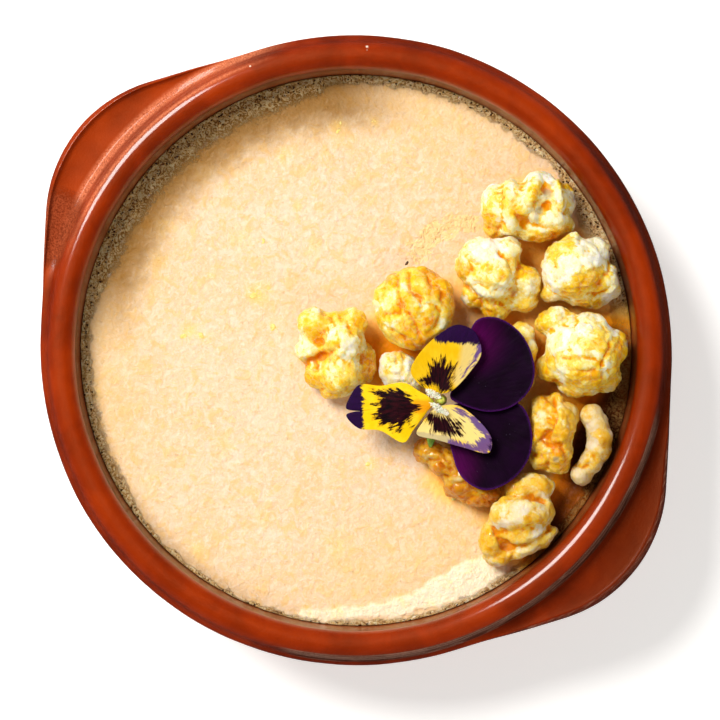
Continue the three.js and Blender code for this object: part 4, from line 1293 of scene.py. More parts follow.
            (-0.4, -4.4, 0.6, 0.92), (3.0, -4.8, 0.9, 0.72), (2.4, -6.0, 0.9, 0.72),
            (4.4, -7.0, 1.0, 0.75), (5.2, -6.2, 0.5, 0.95), (5.6, -4.6, 0.9, 0.3),
            (7.6, -5.0, 1.4, 0.95),
        ),
    },
    "popcorn_behind": {
        "at": (34.5, -0.9, 0.0), "tone": 0.4,
        "lobes": (
            (-0.4, -0.4, 4.8, 5.2, 6.4, 4.8), (2.4, 4.6, 5.0, 3.0, 2.5, 3.9),
            (4.0, 1.0, 4.6, 1.9, 3.4, 3.7), (2.8, -5.2, 4.2, 2.4, 2.8, 3.6),
        ),
        "creases": (
            (((-2.0, 5.6), (1.0, 3.4), (3.0, 0.6), (3.0, -3.4)), 0.5, 0.9),
        ),
        "dabs": (
            (3.4, 5.4, 1.2, 0.15), (4.6, 2.6, 1.0, 0.1), (5.2, -0.4, 0.8, 0.7),
            (3.6, -5.6, 1.2, 0.72), (4.4, -3.0, 0.9, 0.65), (0.0, 0.0, 2.4, 0.4),
        ),
    },
}
FILL = 0.9  # the lobes are swollen, run together and drawn in by this, which fills the gaps
FOOT = -0.12  # how far a piece is pressed into the flan, in millimetres
COARSE = 1.4  # size of the cells in the first running together, beside those in the last
SWOLLEN_ROUNDS = 5
START_ROUNDS = 4
NEAR_ROUNDS = 14
FAR_ROUNDS = 110
DEEP_CREASE = 0.10
DEEP_FOLD = 0.6


def popcorn_finish(settings):
    """Puffed corn from white through yellow to dark caramel, in flakes, glazed in its folds, with
    painted shade on some pieces.
    """
    made = Finish("popcorn_finish", IOR=1.45, Subsurface_Weight=0.6, Subsurface_Scale=0.003,
                  Subsurface_Radius=(1.0, 0.8, 0.22), Specular_IOR_Level=0.18,
                  Coat_Roughness=0.12, Coat_IOR=1.5)
    place = made.place
    tone = made.attribute("tone")
    dull = made.attribute("dull")
    wide = made.attribute("fold")
    close = made.attribute("crease")
    mottle = made.clouds(0.7, 5.0, 0.6, warp=0.5)
    fine = made.clouds(3.4, 5.0, 0.62)
    grain = made.clouds(9.0, 3.0, 0.6)
    low = made.spread(wide, 0.05, 1.1) * 0.45 + made.spread(close, 0.1, 1.4) * 0.22
    patches = made.clouds(0.3, 4.0, 0.6, warp=0.8)
    # flakes: cells bent out of true, each with its own tone, and pale along their edges
    bend = made.node("TexNoise", {}, {"Vector": place, "Scale": 0.9, "Detail": 4.0}, out="Color")
    bent = made.vector("MULTIPLY_ADD", bend, (2.4, 2.4, 2.4), place)
    flake_at = {"Vector": bent, "Scale": 0.4}
    flake = made.node("TexVoronoi", {}, flake_at, out="Color")
    flake = made.node("SeparateColor", {}, {0: flake}, out=0)
    edge = made.node("TexVoronoi", {"feature": "DISTANCE_TO_EDGE"}, flake_at)
    chip_at = {"Vector": bent, "Scale": 1.5}
    chip = made.node("SeparateColor", {}, {0: made.node("TexVoronoi", {}, chip_at, out="Color")})
    split = made.spread(edge, 0.0, 0.10, 1.0, 0.0)
    amount = tone + 0.08 + low + (patches - 0.5) * 0.7 + (mottle - 0.5) * 0.35 + (fine - 0.5) * 0.12
    amount = amount + (flake - 0.5) * 0.26 + (chip - 0.5) * 0.14
    made.base = made.ramp(amount, [
        (0.0, colour(settings.white)), (0.22, over(255, 238, 184)),
        (0.42, colour(settings.yellow)), (0.6, over(255, 196, 24)),
        (0.8, colour(settings.caramel)), (1.0, over(234, 136, 0))])
    made.lay(split * made.spread(amount, 0.3, 0.6) * 0.35, over(255, 232, 170))
    deep = made.spread(close * 0.6 + wide * 0.8 + (fine - 0.5) * 0.3, 0.7, 1.7)
    made.lay(deep * 0.6, over(252, 160, 0))
    # greyish bare skin, and painted shade where it marks shaded folds
    bare = made.spread(dull + (fine - 0.5) * 0.5, 0.25, 0.8)
    made.lay(bare * 0.8, made.mix(mottle, over(214, 204, 170), over(170, 152, 110)))
    # painted shade: the whole piece drawn darker and browner
    made.lay(made.attribute("dusk"), over(206, 186, 150), "MULTIPLY")
    coated = made.spread(amount, 0.25, 0.7) * (1 - bare)
    crinkle = made.clouds(1.5, 6.0, 0.7, warp=1.2)
    steps = flake * 0.35 + chip * 0.16 - split * 0.12
    normal = made.bump(mottle * 0.5 + crinkle * 1.0 + fine * 0.5 + steps, 0.42, 0.9)
    normal = made.bump(grain, 0.045, 0.6, normal)
    made.put(
        Base_Color=made.base,
        Roughness=made.spread(coated + (fine - 0.5) * 0.3, 0.0, 1.0, 0.55, 0.3),
        Coat_Weight=coated * (1 - deep) * 0.75,
        Normal=normal,
    )
    return made.material


def puffed(piece, voxel):
    """The lobes of a piece, run together into one closed skin."""
    balls = []
    fill = piece.get("fill", FILL)
    u0, v0, lift = piece["at"]
    # a lobe that isn't turned leaves its turn out
    for u, v, z, along, across, up, *turn in piece["lobes"]:
        half_sizes = (along + fill, across + fill, up + fill)
        balls.append(ball(u0 + u, v0 + v, FLAN_LEVEL + lift + z, half_sizes, sum(turn)))
    made = joined(balls)
    apply(made, "REMESH", mode="VOXEL", voxel_size=voxel * COARSE, adaptivity=0.0)
    move_to(made, evened(made, coordinates(made), SWOLLEN_ROUNDS))
    move_to(made, coordinates(made) - normals(made) * (fill - piece.get("fat", 0.0)) * MM)
    apply(made, "REMESH", mode="VOXEL", voxel_size=voxel, adaptivity=0.0)
    return made


def worked(made, piece, seed):
    """Presses the creases in and raises the puffed skin's own lumps."""
    u0, v0, _ = piece["at"]
    start = evened(made, coordinates(made), START_ROUNDS)
    move_to(made, start)
    u, v, z = photo_axes(start)
    out = normals(made)
    local = np.stack([u - u0, v - v0, z - FLAN_LEVEL], axis=1)
    facing = ease(out[:, 2], -0.2, 0.5)
    push = np.zeros(len(u))
    for stroke, width, depth in piece["creases"]:
        gap, along = from_stroke(local[:, 0], local[:, 1], stroke)
        ragged = gap + cloud(local, 1.3, seed + 3, 2) * 0.25
        taper = 0.45 + 0.55 * np.sin(np.pi * np.clip(along, 0.04, 0.96)) ** 0.5
        push -= 0.6 * depth * taper * np.exp(-(ragged / width) ** 2) * facing
        push += depth * 0.18 * taper * np.exp(-((ragged - 2.2 * width) / width) ** 2) * facing
    crackle = piece.get("crackle", 1.0)
    flakes = cloud(local, 2.8, seed + 21, 2)
    push += cloud(local, 3.2, seed, 2) * 0.42
    bent = local + np.stack([cloud(local, 2.2, seed + k, 2) for k in (11, 12, 13)], axis=1) * 0.8
    for size, height, shift in ((2.3, 0.34, 1.0), (1.1, 0.15, 2.0)):
        near = [noise.voronoi(Vector(place) / size + Vector((seed * 3.1, shift, 0.0)))
                for place in bent]
        domes = np.array([gaps[0] for gaps, _ in near])
        # each cell is a flake that stands a little higher or lower than the next
        step = np.array([math.sin(spots[0].dot(Vector((12.9, 78.2, 37.7)))) for _, spots in near])
        push += step * height * 0.35 * crackle * ease(flakes, -0.25, 0.15)
        where = 0.35 + 0.65 * ease(cloud(local, 3.6, seed + 9 * shift, 2), -0.2, 0.3)
        push += (0.3 - np.minimum(domes, 1.0) ** 1.5) * height * 2.0 * crackle * where
    push += cloud(local, 0.8, seed + 5, 3) * 0.10 * crackle
    places = start + out * push[:, None] * MM
    places = evened(made, places, 1)
    move_to(made, places)


def pressed_flat(made, level):
    """Cuts a piece off where it stands on the flan, and closes its foot."""
    edit(made)
    bpy.ops.mesh.bisect(
        plane_co=(0.0, 0.0, level), plane_no=(0.0, 0.0, 1.0), use_fill=True, clear_inner=True)
    bpy.ops.mesh.select_all(action="SELECT")
    bpy.ops.mesh.quads_convert_to_tris()
    bpy.ops.object.mode_set(mode="OBJECT")


def weighted(u, v, ground, dabs):
    """A value painted with soft, uneven dabs over what lies under them."""
    flat = np.stack([u, v, u * 0.0], axis=1)
    u = u + cloud(flat, 1.4, 31, 3) * 0.8
    v = v + cloud(flat, 1.4, 32, 3) * 0.8
    total = np.full(len(u), 0.35)
    value = total * ground
    for du, dv, size, shade in dabs:
        weight = np.exp(-((u - du) ** 2 + (v - dv) ** 2) / (size * size * 1.1)) * 1.6
        value += weight * shade
        total += weight
    return value / total


def painted(made, piece):
    """Keeps what the finish reads: folds, creases, caramel, greyish bare skin with some painted
    shade, and painted shade over the whole piece.
    """
    u0, v0, _ = piece["at"]
    places = coordinates(made)
    out = normals(made)
    u, v, _ = photo_axes(places)
    u, v = u - u0, v - v0
    near = evened(made, places, NEAR_ROUNDS)
    far = evened(made, near, FAR_ROUNDS)
    crease = ((near - places) * out).sum(axis=1) / MM
    fold = ((far - places) * out).sum(axis=1) / MM
    paint(made, "crease", np.clip(crease / DEEP_CREASE, -1.0, 2.0))
    paint(made, "fold", np.clip(fold / DEEP_FOLD, -0.8, 1.6))
    paint(made, "tone", weighted(u, v, piece["tone"], piece["dabs"]))
    dull = np.zeros(len(u))
    for du, dv, size, amount in piece.get("dull", ()):
        dull = np.maximum(dull, amount * np.exp(-((u - du) ** 2 + (v - dv) ** 2) / size ** 2))
    paint(made, "dull", dull * ease(out[:, 2], -0.2, 0.4))
    paint(made, "dusk", np.full(len(u), piece.get("dusk", 0.0)))


class FLAN_OT_popcorn(bpy.types.Operator):
    """Puffs the pieces of popcorn and coats them in caramel"""

    bl_idname = "flan.make_popcorn"
    bl_label = "Popcorn"

    def execute(self, context):
        settings = context.scene.flan_popcorn
        finish = popcorn_finish(settings)
        for seed, (name, piece) in enumerate(POPCORN.items()):
            made = puffed(piece, settings.voxel)
            worked(made, piece, float(seed))
            pressed_flat(made, (FLAN_LEVEL + FOOT) * MM)
            painted(made, piece)
            finished(made, name.replace("popcorn", "popped_corn"), finish, "popcorn", name)
        return {"FINISHED"}


# ---------------------------------------------------------------- the flower


# Each petal's outline and middle, in millimetres from the flower's heart, and its height,
# lean, cup and wave; dusk: painted shade, how much darker and browner it is drawn
PETALS = {
    "petal_back_lower": {
        "middle": (11.6, -9.4), "rise": -3.3, "lean": (0.02, -0.02), "cup": 0.5, "wave": 0.3,
        "outline": (
            (6.0, -0.4), (2.8, -1.8), (2.4, -6.0), (3.3, -11.5), (5.6, -17.2), (10.6, -19.9),
            (16.4, -17.8), (20.2, -13.0), (21.0, -7.6), (18.8, -1.4), (12.0, 0.6),
        ),
    },
    "petal_back_upper": {
        "middle": (12.4, 7.4), "rise": -2.1, "lean": (0.03, 0.0), "cup": 0.5, "wave": 0.3,
        "outline": (
            (2.9, 0.6), (5.4, -1.0), (11.5, -2.6), (17.0, -1.2), (21.0, 3.4), (21.2, 9.0),
            (18.2, 15.0), (13.0, 18.2), (8.8, 17.6), (6.2, 12.0), (4.6, 5.0),
        ),
    },
    "petal_side_lower": {
        "middle": (3.6, -5.6), "rise": 0.1, "lean": (0.0, 0.02), "cup": 0.2, "wave": 0.15,
        "outline": (
            (0.6, -1.4), (-1.4, -2.6), (-3.2, -4.9), (-4.5, -7.5), (0.0, -8.8), (5.6, -10.4),
            (11.4, -11.6), (12.0, -8.6), (8.9, -4.3), (4.4, -1.2),
        ),
    },
    "petal_side_upper": {
        "middle": (2.2, 9.0), "rise": 0.3, "lean": (-0.02, 0.03), "cup": 0.2, "wave": 0.2,
        "dusk": 0.5,
        "outline": (
            (0.9, 1.4), (3.4, 2.2), (7.4, 6.4), (9.7, 10.2), (8.4, 14.9), (4.6, 16.6),
            (0.4, 14.5), (-4.4, 9.6), (-5.8, 6.2), (-3.2, 2.9),
        ),
    },
    "petal_lip": {
        "middle": (-9.6, -1.9), "rise": -0.9, "lean": (0.02, 0.0), "cup": -0.4, "wave": 0.2,
        "outline": (
            (-0.7, -0.4), (-4.0, 2.0), (-7.4, 3.8), (-12.5, 3.1), (-17.2, 3.3), (-19.4, 0.4),
            (-20.0, -1.9), (-16.8, -2.4), (-20.0, -3.3), (-17.4, -6.2), (-12.5, -6.8),
            (-7.3, -9.4), (-5.2, -6.6), (-2.2, -2.6),
        ),
    },
}
PETAL_WAVES = 3
NET_RADIUS = 1000.0  # a metre, so that a point's radius is its share of the way out
NET_RINGS = 44
NET_STEPS = 300
OUTLINE_STEPS = 24
CRINKLE_SIZE = 4.5
CRINKLE_RISE = 0.22
# painted shade on the bright petals that are not given their own
FAINT_PAINTED_SHADE = 0.1
# spots of the dark petals that take a redder light: their places and radii
LOWER_FLUSH = ((20.6, -26.0), 9.0)
UPPER_FLUSH = ((25.0, 2.0), 10.0)
MARK_KINDS = ("blotch", "tip", "pale", "violet", "orange", "fold")
# Marks on the petals: tapered strokes from one point to another, each with its half width
MARKS = {
    "petal_lip": {
        "blotch": (
            (-4.4, -1.6, 0.5, -8.6, -1.7, 3.3), (-8.6, -1.7, 3.3, -10.0, -2.0, 3.0),
            (-9.0, 0.0, 1.4, -14.0, 1.8, 0.12), (-9.0, -0.4, 1.2, -12.6, 0.3, 0.12),
            (-9.6, -1.2, 1.0, -13.4, -1.2, 0.12), (-9.6, -2.4, 1.4, -14.2, -3.8, 0.12),
            (-9.4, -3.2, 1.3, -12.6, -5.3, 0.12), (-8.8, -3.6, 1.2, -10.3, -6.3, 0.12),
            (-8.0, -3.6, 1.1, -8.3, -6.5, 0.12), (-6.8, -3.0, 1.0, -6.0, -5.7, 0.12),
            (-8.0, 0.4, 1.3, -11.4, 2.5, 0.12), (-6.4, -0.4, 1.0, -8.6, 2.4, 0.1),
        ),
        "tip": (
            (-18.6, 1.6, 2.2, -18.4, -4.6, 2.0), (-18.2, 2.6, 1.6, -17.6, -5.6, 1.4),
        ),
        "orange": ((-1.0, -1.2, 0.9, -4.0, -1.4, 1.6),),
    },
    "petal_side_upper": {
        "blotch": (
            (1.6, 3.2, 1.4, 0.6, 5.6, 2.2), (0.8, 4.8, 1.5, -3.8, 4.3, 0.12),
            (0.6, 5.6, 1.4, -2.0, 7.8, 0.12), (0.9, 6.0, 1.3, -0.4, 8.6, 0.12),
            (1.2, 6.0, 1.3, 1.2, 9.2, 0.12), (1.8, 5.6, 1.1, 3.8, 8.0, 0.12),
            (1.8, 4.6, 1.0, 3.6, 5.0, 0.12), (-0.2, 4.6, 1.0, -3.2, 3.4, 0.1),
        ),
        "tip": (
            (1.0, 14.6, 2.0, 4.6, 15.0, 2.6), (4.6, 15.0, 2.6, 9.4, 13.8, 1.6),
        ),
        "pale": ((6.6, 7.0, 1.8, 8.2, 11.4, 2.4), (4.8, 4.4, 1.2, 6.6, 7.0, 1.8)),
        "violet": ((9.6, 12.0, 0.9, 8.0, 8.6, 0.4), (8.0, 8.6, 0.4, 5.4, 5.4, 0.2)),
    },
    "petal_side_lower": {
        "blotch": (
            (-2.4, -3.2, 0.7, 0.8, -5.4, 1.5), (0.4, -5.0, 1.3, 4.2, -4.3, 0.12),
            (0.6, -5.6, 1.2, 4.8, -5.1, 0.12), (0.6, -5.8, 1.3, 5.4, -7.6, 0.12),
            (0.2, -6.0, 1.2, 2.8, -7.4, 0.12), (0.2, -5.4, 1.4, 4.9, -6.2, 0.12),
        ),
        "tip": ((11.6, -10.6, 0.3, 11.9, -8.8, 0.2),),
        "pale": ((1.0, -4.0, 3.0, 8.0, -7.0, 3.0), (-3.4, -6.4, 1.6, 1.0, -7.6, 1.6)),
        "violet": (
            (4.4, -1.8, 0.5, 10.8, -6.6, 1.2), (3.0, -9.6, 0.9, 10.6, -11.3, 0.7),
            (10.9, -9.8, 1.8, 11.4, -8.4, 1.4), (9.4, -10.2, 1.3, 11.6, -10.4, 1.4),
        ),
        "fold": ((-4.2, -7.9, 0.9, 2.0, -9.0, 1.1),),
    },
}


def petal_height(petal, x, y, turn, share):
    """Height of a petal's points, which lean, cup and wave towards its edge."""
    ripple = petal["wave"] * np.sin(PETAL_WAVES * turn) * share ** 3
    lean = petal["lean"][0] * x + petal["lean"][1] * y
    return petal["rise"] + lean + petal["cup"] * share ** 2 + ripple


def mark(x, y, strokes):
    """How far inside a group of tapered strokes points lie; negative outside."""
    inside = np.full(len(x), -9.0)
    for x0, y0, w0, x1, y1, w1 in strokes:
        gap, t = from_span(x, y, (x0, y0), (x1, y1))
        inside = np.maximum(inside, w0 + (w1 - w0) * t - gap)
    return inside


def petal_finish(name, settings):
    """Bright petals: yellow, with dark blotches and whiskers run in from the throat, and painted
    shade.
    """
    made = Finish(name, IOR=1.4, Subsurface_Weight=0.15, Subsurface_Scale=0.0006,
                  Subsurface_Radius=(1.0, 0.8, 0.2), Specular_IOR_Level=0.1)
    blotch, tip, pale, violet, orange, fold = (made.attribute(kind) for kind in MARK_KINDS)
    ray = made.attribute("ray")
    out = made.attribute("out")
    veins_at = made.point(ray * 14.0, out * 0.25, 0.0)
    veins = made.clouds(1.0, 4.0, 0.6, place=veins_at)
    streaks_at = made.point(ray * 17.0, out * 0.3, 2.0)
    streaks = made.clouds(1.0, 5.0, 0.72, place=streaks_at)
    skin = made.clouds(9.0, 3.0, 0.6)
    wash = made.clouds(0.35, 3.0, 0.5)
    feather = (streaks - 0.5) * 2.0
    made.base = made.mix(veins * 0.35, colour(settings.yellow), over(226, 176, 4))
    made.lay(made.spread(wash, 0.4, 0.7) * 0.3, over(255, 226, 60))
    made.lay(made.spread(pale + (wash - 0.5) * 2.0, -1.2, 0.7) * 0.85, over(228, 208, 134))
    made.lay(made.spread(orange + feather * 0.4, -0.5, 0.5) * 0.8, over(240, 150, 8))
    made.lay(made.spread(out, 2.4, 0.9), over(176, 182, 50))
    # painted shade: the petal drawn darker
    made.lay(made.attribute("dusk") * made.spread(streaks, 0.3, 0.6, 0.7, 1.0),
             over(210, 190, 160), "MULTIPLY")
    made.lay(made.spread(fold + feather * 0.3, -0.3, 0.2), over(186, 168, 120))
    made.lay(made.spread(violet + feather * 3.0, -0.3, 0.4) * 0.9, over(72, 30, 122))
    made.lay(made.spread(tip + feather * 2.0, -0.35, 0.35),
             made.mix(streaks, over(44, 6, 66), over(12, 0, 18)))
    ragged = blotch + feather * 3.2
    made.lay(made.spread(ragged, -0.75, 0.0) * 0.6, over(104, 40, 8))
    made.lay(made.spread(ragged, -0.3, 0.1),
             made.mix(made.spread(streaks, 0.35, 0.65), over(48, 4, 14), over(4, 0, 4)))
    normal = made.bump(veins, 0.14, 0.6)
    normal = made.bump(skin, 0.02, 0.5, normal)
    made.put(Base_Color=made.base, Roughness=made.spread(skin, 0.2, 0.8, 0.5, 0.65), Normal=normal)
    return made.material


def velvet_finish(name, settings, flush, glow):
    """Dark petals: purple-black velvet, with a painted redder sheen on one side, and faint pale
    specks.
    """
    made = Finish(name, IOR=1.4, Specular_IOR_Level=0.06)
    ray = made.attribute("ray")
    out = made.attribute("out")
    veins_at = made.point(ray * 22.0, out * 0.2, 0.0)
    veins = made.clouds(1.0, 4.0, 0.6, place=veins_at)
    skin = made.clouds(8.0, 4.0, 0.6)
    wash = made.clouds(0.2, 4.0, 0.6)
    dark = made.spread(wash + veins * 0.3, 0.4, 0.9)
    made.base = made.mix(dark, colour(settings.purple), over(12, 0, 13))
    # painted sheen: a redder glow on one side of each dark petal
    lit = made.near(tuple(row_place(*flush, FLAN_LEVEL + FLOWER_HEIGHT - 2.0) / MM), glow)
    made.lay(lit * made.spread(veins, 0.2, 0.8, 0.5, 0.9), over(84, 0, 74))
    edge = made.attribute("edge")
    made.lay(made.spread(edge + (skin - 0.5) * 0.2, 0.955, 1.0) * 0.7, over(74, 20, 96))
    specks = made.spread(made.cells(1.1) + skin * 0.1, 0.13, 0.08)
    made.lay(specks * made.spread(wash, 0.5, 0.6) * 0.5, over(120, 110, 140))
    normal = made.bump(veins, 0.2, 0.6)
    normal = made.bump(skin, 0.03, 0.6, normal)
    made.put(Base_Color=made.base, Roughness=made.spread(skin, 0.2, 0.8, 0.5, 0.7), Normal=normal)
    return made.material


def sheet(name, petal, thickness):
    """A petal: a round net of points drawn out to the petal's outline, then given its thickness."""
    rings = [(k * NET_RADIUS / NET_RINGS, 0.0) for k in range(NET_RINGS + 1)]
    made = spun(name, rings, NET_STEPS)
    flat = coordinates(made)
    share = np.hypot(flat[:, 0], flat[:, 1])
    turn = np.arctan2(flat[:, 1], flat[:, 0]) % (2.0 * math.pi)
    rim = smooth_line(petal["outline"], OUTLINE_STEPS, closed=True)
    which = turn / (2.0 * math.pi) * len(rim)
    low = np.floor(which).astype(int) % len(rim)
    part = (which - np.floor(which))[:, None]
    edge = rim[low] * (1 - part) + rim[(low + 1) % len(rim)] * part
    middle = np.array(petal["middle"])
    spot = middle + (edge - middle) * share[:, None]
    height = petal_height(petal, spot[:, 0], spot[:, 1], turn, share)
    level = np.stack([spot[:, 0], spot[:, 1], height * 0], axis=1)
    crinkle = cloud(level, CRINKLE_SIZE, len(name), 2)
    height = height + crinkle * CRINKLE_RISE * share ** 2
    places = np.array([
        row_place(FLOWER_AT[0] + x, FLOWER_AT[1] + y, FLAN_LEVEL + FLOWER_HEIGHT + z)
        for (x, y), z in zip(spot, height)
    ])
    paint(made, "edge", share)
    move_to(made, places)
    edit(made)
    bpy.ops.mesh.normals_make_consistent(inside=False)
    bpy.ops.object.mode_set(mode="OBJECT")
    if normals(made)[:, 2].mean() < 0:
        bpy.ops.object.mode_set(mode="EDIT")
        bpy.ops.mesh.flip_normals()
        bpy.ops.object.mode_set(mode="OBJECT")
    apply(made, "SOLIDIFY", thickness=thickness, offset=0.0)
    return made


class FLAN_OT_petals(bpy.types.Operator):
    """Spreads the petals of the flower and paints their marks"""

    bl_idname = "flan.make_petals"
    bl_label = "Petals"

    def execute(self, context):
        settings = context.scene.flan_flower
        bright = petal_finish("bright_petal_finish", settings)
        lower = velvet_finish("lower_velvet_finish", settings, *LOWER_FLUSH)
        upper = velvet_finish("upper_velvet_finish", settings, *UPPER_FLUSH)
        for name, petal in PETALS.items():
            made = sheet(name, petal, settings.thickness)
            u, v, _ = photo_axes(coordinates(made))
            x, y = u - FLOWER_AT[0], v - FLOWER_AT[1]
            paint(made, "ray", np.arctan2(y, x + 0.001) if name != "petal_lip"
                  else np.arctan2(y + 1.2, -x + 0.5))
            paint(made, "out", np.hypot(x, y))
            paint(made, "dusk", np.full(len(x), petal.get("dusk", FAINT_PAINTED_SHADE)))
            for kind in MARK_KINDS:
                strokes = MARKS.get(name, {}).get(kind, ())
                paint(made, kind, np.clip(mark(x, y, strokes), -2.0, 2.0))
            back = {"petal_back_lower": lower, "petal_back_upper": upper}
            slot = "petal_purple" if name in back else "petal_yellow"
            finished(made, name.replace("petal", "viola_petal"), back.get(name, bright), slot, name)
        return {"FINISHED"}


def plain_finish(name, light, dark, scale, rough, depth, **constants):
    """A soft natural finish of two close colours with a fine uneven skin."""
    made = Finish(name, **constants)
    cloudy = made.clouds(scale, 4.0, 0.6)
    fine = made.clouds(scale * 4.0, 4.0, 0.6)
    base = made.mix(made.spread(cloudy + (fine - 0.5) * 0.4, 0.35, 0.7), light, dark)
    made.put(
        Base_Color=base,
        Roughness=made.spread(fine, 0.2, 0.8, rough - 0.08, rough + 0.08),
        Normal=made.bump(fine, depth, 0.6),
    )
    return made.material


HEART_SECTION = (
    (0.0, -5.6), (0.9, -5.4), (1.3, -4.2), (1.0, -2.6), (0.85, 0.0), (0.6, 0.7), (0.0, 0.9))
HEART_ACROSS = 0.9  # from the flower's middle to the heart's
HEART_STEPS = 36
# the two white tufts: each runs from one point to another
TUFTS = (((-2.3, 2.1), (0.6, 0.5)), ((-1.3, -0.8), (2.4, -3.1)))
TUFT_SEED = 7
TUFT_HAIRS = 190
TUFT_RISE = 0.75
HAIR_LENGTH = 1.1
HAIR_FOOT_RADIUS = 0.11
HAIR_TIP_RADIUS = 0.04
HAIR_LEAN = 0.6
SEPAL_THICKNESS = 0.35
SEPAL = {
    "middle": (-0.9, -6.4), "rise": -4.5, "lean": (0.0, 0.0), "cup": 0.1, "wave": 0.0,
    "outline": ((0.4, -2.4), (-0.8, -2.6), (-2.3, -7.4), (-1.5, -10.6), (-0.3, -8.6)),
}


class FLAN_OT_heart(bpy.types.Operator):
    """Makes the flower's heart, its white tufts and the green tip under it"""

    bl_idname = "flan.make_heart"
    bl_label = "Flower's Heart"

    def execute(self, context):
        base = FLAN_LEVEL + FLOWER_HEIGHT
        heart = spun("heart", smooth_line(HEART_SECTION, 5), HEART_STEPS)
        places = coordinates(heart)
        at = row_place(FLOWER_AT[0] + HEART_ACROSS, FLOWER_AT[1], base)
        places += np.array(at)
        places += (cloud(places / MM, 0.8, 2, 2) * 0.10 * MM)[:, None] * normals(heart)
        move_to(heart, places)
        green = plain_finish(
            "heart_finish", over(206, 204, 92), over(160, 176, 60), 1.4, 0.6, 0.1,
            Specular_IOR_Level=0.15, Subsurface_Weight=0.3, Subsurface_Scale=0.0008)
        finished(heart, "viola_heart", green, "flower_green", "flower_heart")

        hairs = []
        rng = np.random.default_rng(TUFT_SEED)
        for start, end in TUFTS:
            for _ in range(TUFT_HAIRS):
                share = rng.uniform(0.0, 1.0)
                bulge = 0.5 * math.sin(math.pi * share) + 0.2
                x = start[0] + (end[0] - start[0]) * share + rng.uniform(-bulge, bulge)
                y = start[1] + (end[1] - start[1]) * share + rng.uniform(-bulge, bulge)
                deselect()
                bpy.ops.mesh.primitive_cone_add(
                    vertices=6, radius1=HAIR_FOOT_RADIUS * MM, radius2=HAIR_TIP_RADIUS * MM,
                    depth=HAIR_LENGTH * MM,
                    location=row_place(FLOWER_AT[0] + x, FLOWER_AT[1] + y, base + TUFT_RISE),
                    rotation=(rng.uniform(-HAIR_LEAN, HAIR_LEAN),
                              rng.uniform(-HAIR_LEAN, HAIR_LEAN), TURN))
                hairs.append(bpy.context.object)
        tufts = joined(hairs)
        white = plain_finish(
            "tuft_finish", over(255, 252, 240), over(240, 232, 196), 3.0, 0.6, 0.05,
            Subsurface_Weight=0.2, Subsurface_Scale=0.0004)
        finished(tufts, "viola_tufts", white, "petal_yellow")

        sepal = sheet("sepal", SEPAL, SEPAL_THICKNESS * MM)
        leaf = plain_finish(
            "sepal_finish", over(116, 150, 34), over(72, 104, 18), 1.2, 0.5, 0.12,
            Subsurface_Weight=0.15, Subsurface_Scale=0.0008)
        finished(sepal, "viola_sepal", leaf, "flower_green", "sepal")
        return {"FINISHED"}


# ---------------------------------------------------------------- bits on the flan


# bits of corn and dark specks: pixel of the photograph, half length, half width, turn
CORN_BITS = (
    (338, 125, 1.5, 0.7, 70.0), (375, 120, 0.8, 0.6, 10.0), (253, 295, 0.9, 0.6, 30.0),
    (272, 327, 0.8, 0.6, 80.0), (103, 287, 0.6, 0.5, 0.0), (96, 391, 0.7, 0.5, 100.0),
    (368, 465, 0.8, 0.55, 20.0), (196, 548, 1.1, 0.6, 140.0), (262, 240, 0.6, 0.5, 60.0),
    (182, 336, 0.8, 0.5, 15.0), (200, 335, 0.7, 0.5, 120.0), (455, 500, 0.6, 0.5, 45.0),
)
DARK_SPECKS = ((407.3, 262.5, 0.62, 0.3, 50.0),)


class FLAN_OT_bits(bpy.types.Operator):
    """Lays the bits of corn and the dark specks in the flan's surface"""

    bl_idname = "flan.make_bits"
    bl_label = "Bits"

    def execute(self, context):
        corn = plain_finish(
            "corn_bit_finish", over(248, 214, 126), over(242, 200, 104), 1.6,
            0.4, 0.08, Subsurface_Weight=0.4, Subsurface_Scale=0.001)
        dark = plain_finish("speck_finish", over(96, 70, 40), over(40, 26, 16), 3.0, 0.5, 0.05)
        for name, rows, finish, up in (
                ("corn_bits", CORN_BITS, corn, 0.11), ("dark_specks", DARK_SPECKS, dark, 0.16)):
            made = joined([
                ball(*from_pixel(px, py), FLAN_LEVEL, (along, across, up), turn)
                for px, py, along, across, turn in rows
            ])
            places = coordinates(made)
            places += normals(made) * (cloud(places / MM, 0.7, 4, 3) * 0.14 * MM)[:, None]
            move_to(made, places)
            finished(made, name, finish, "custard")
        return {"FINISHED"}


# ---------------------------------------------------------------- the stage


FLOOR_WIDTH = 6.0
FLOOR_DROP = 0.2 * MM
# strength of the studio's light: low down, at the ceiling, and as the glaze mirrors it
WALL_LIGHT = 0.68
CEILING_LIGHT = 0.1
MIRRORED_LIGHT = 0.07
FILL_SHARE = 0.2
LAMP_TINT = (1.0, 0.985, 0.96)
SENSOR_WIDTH = 36.0


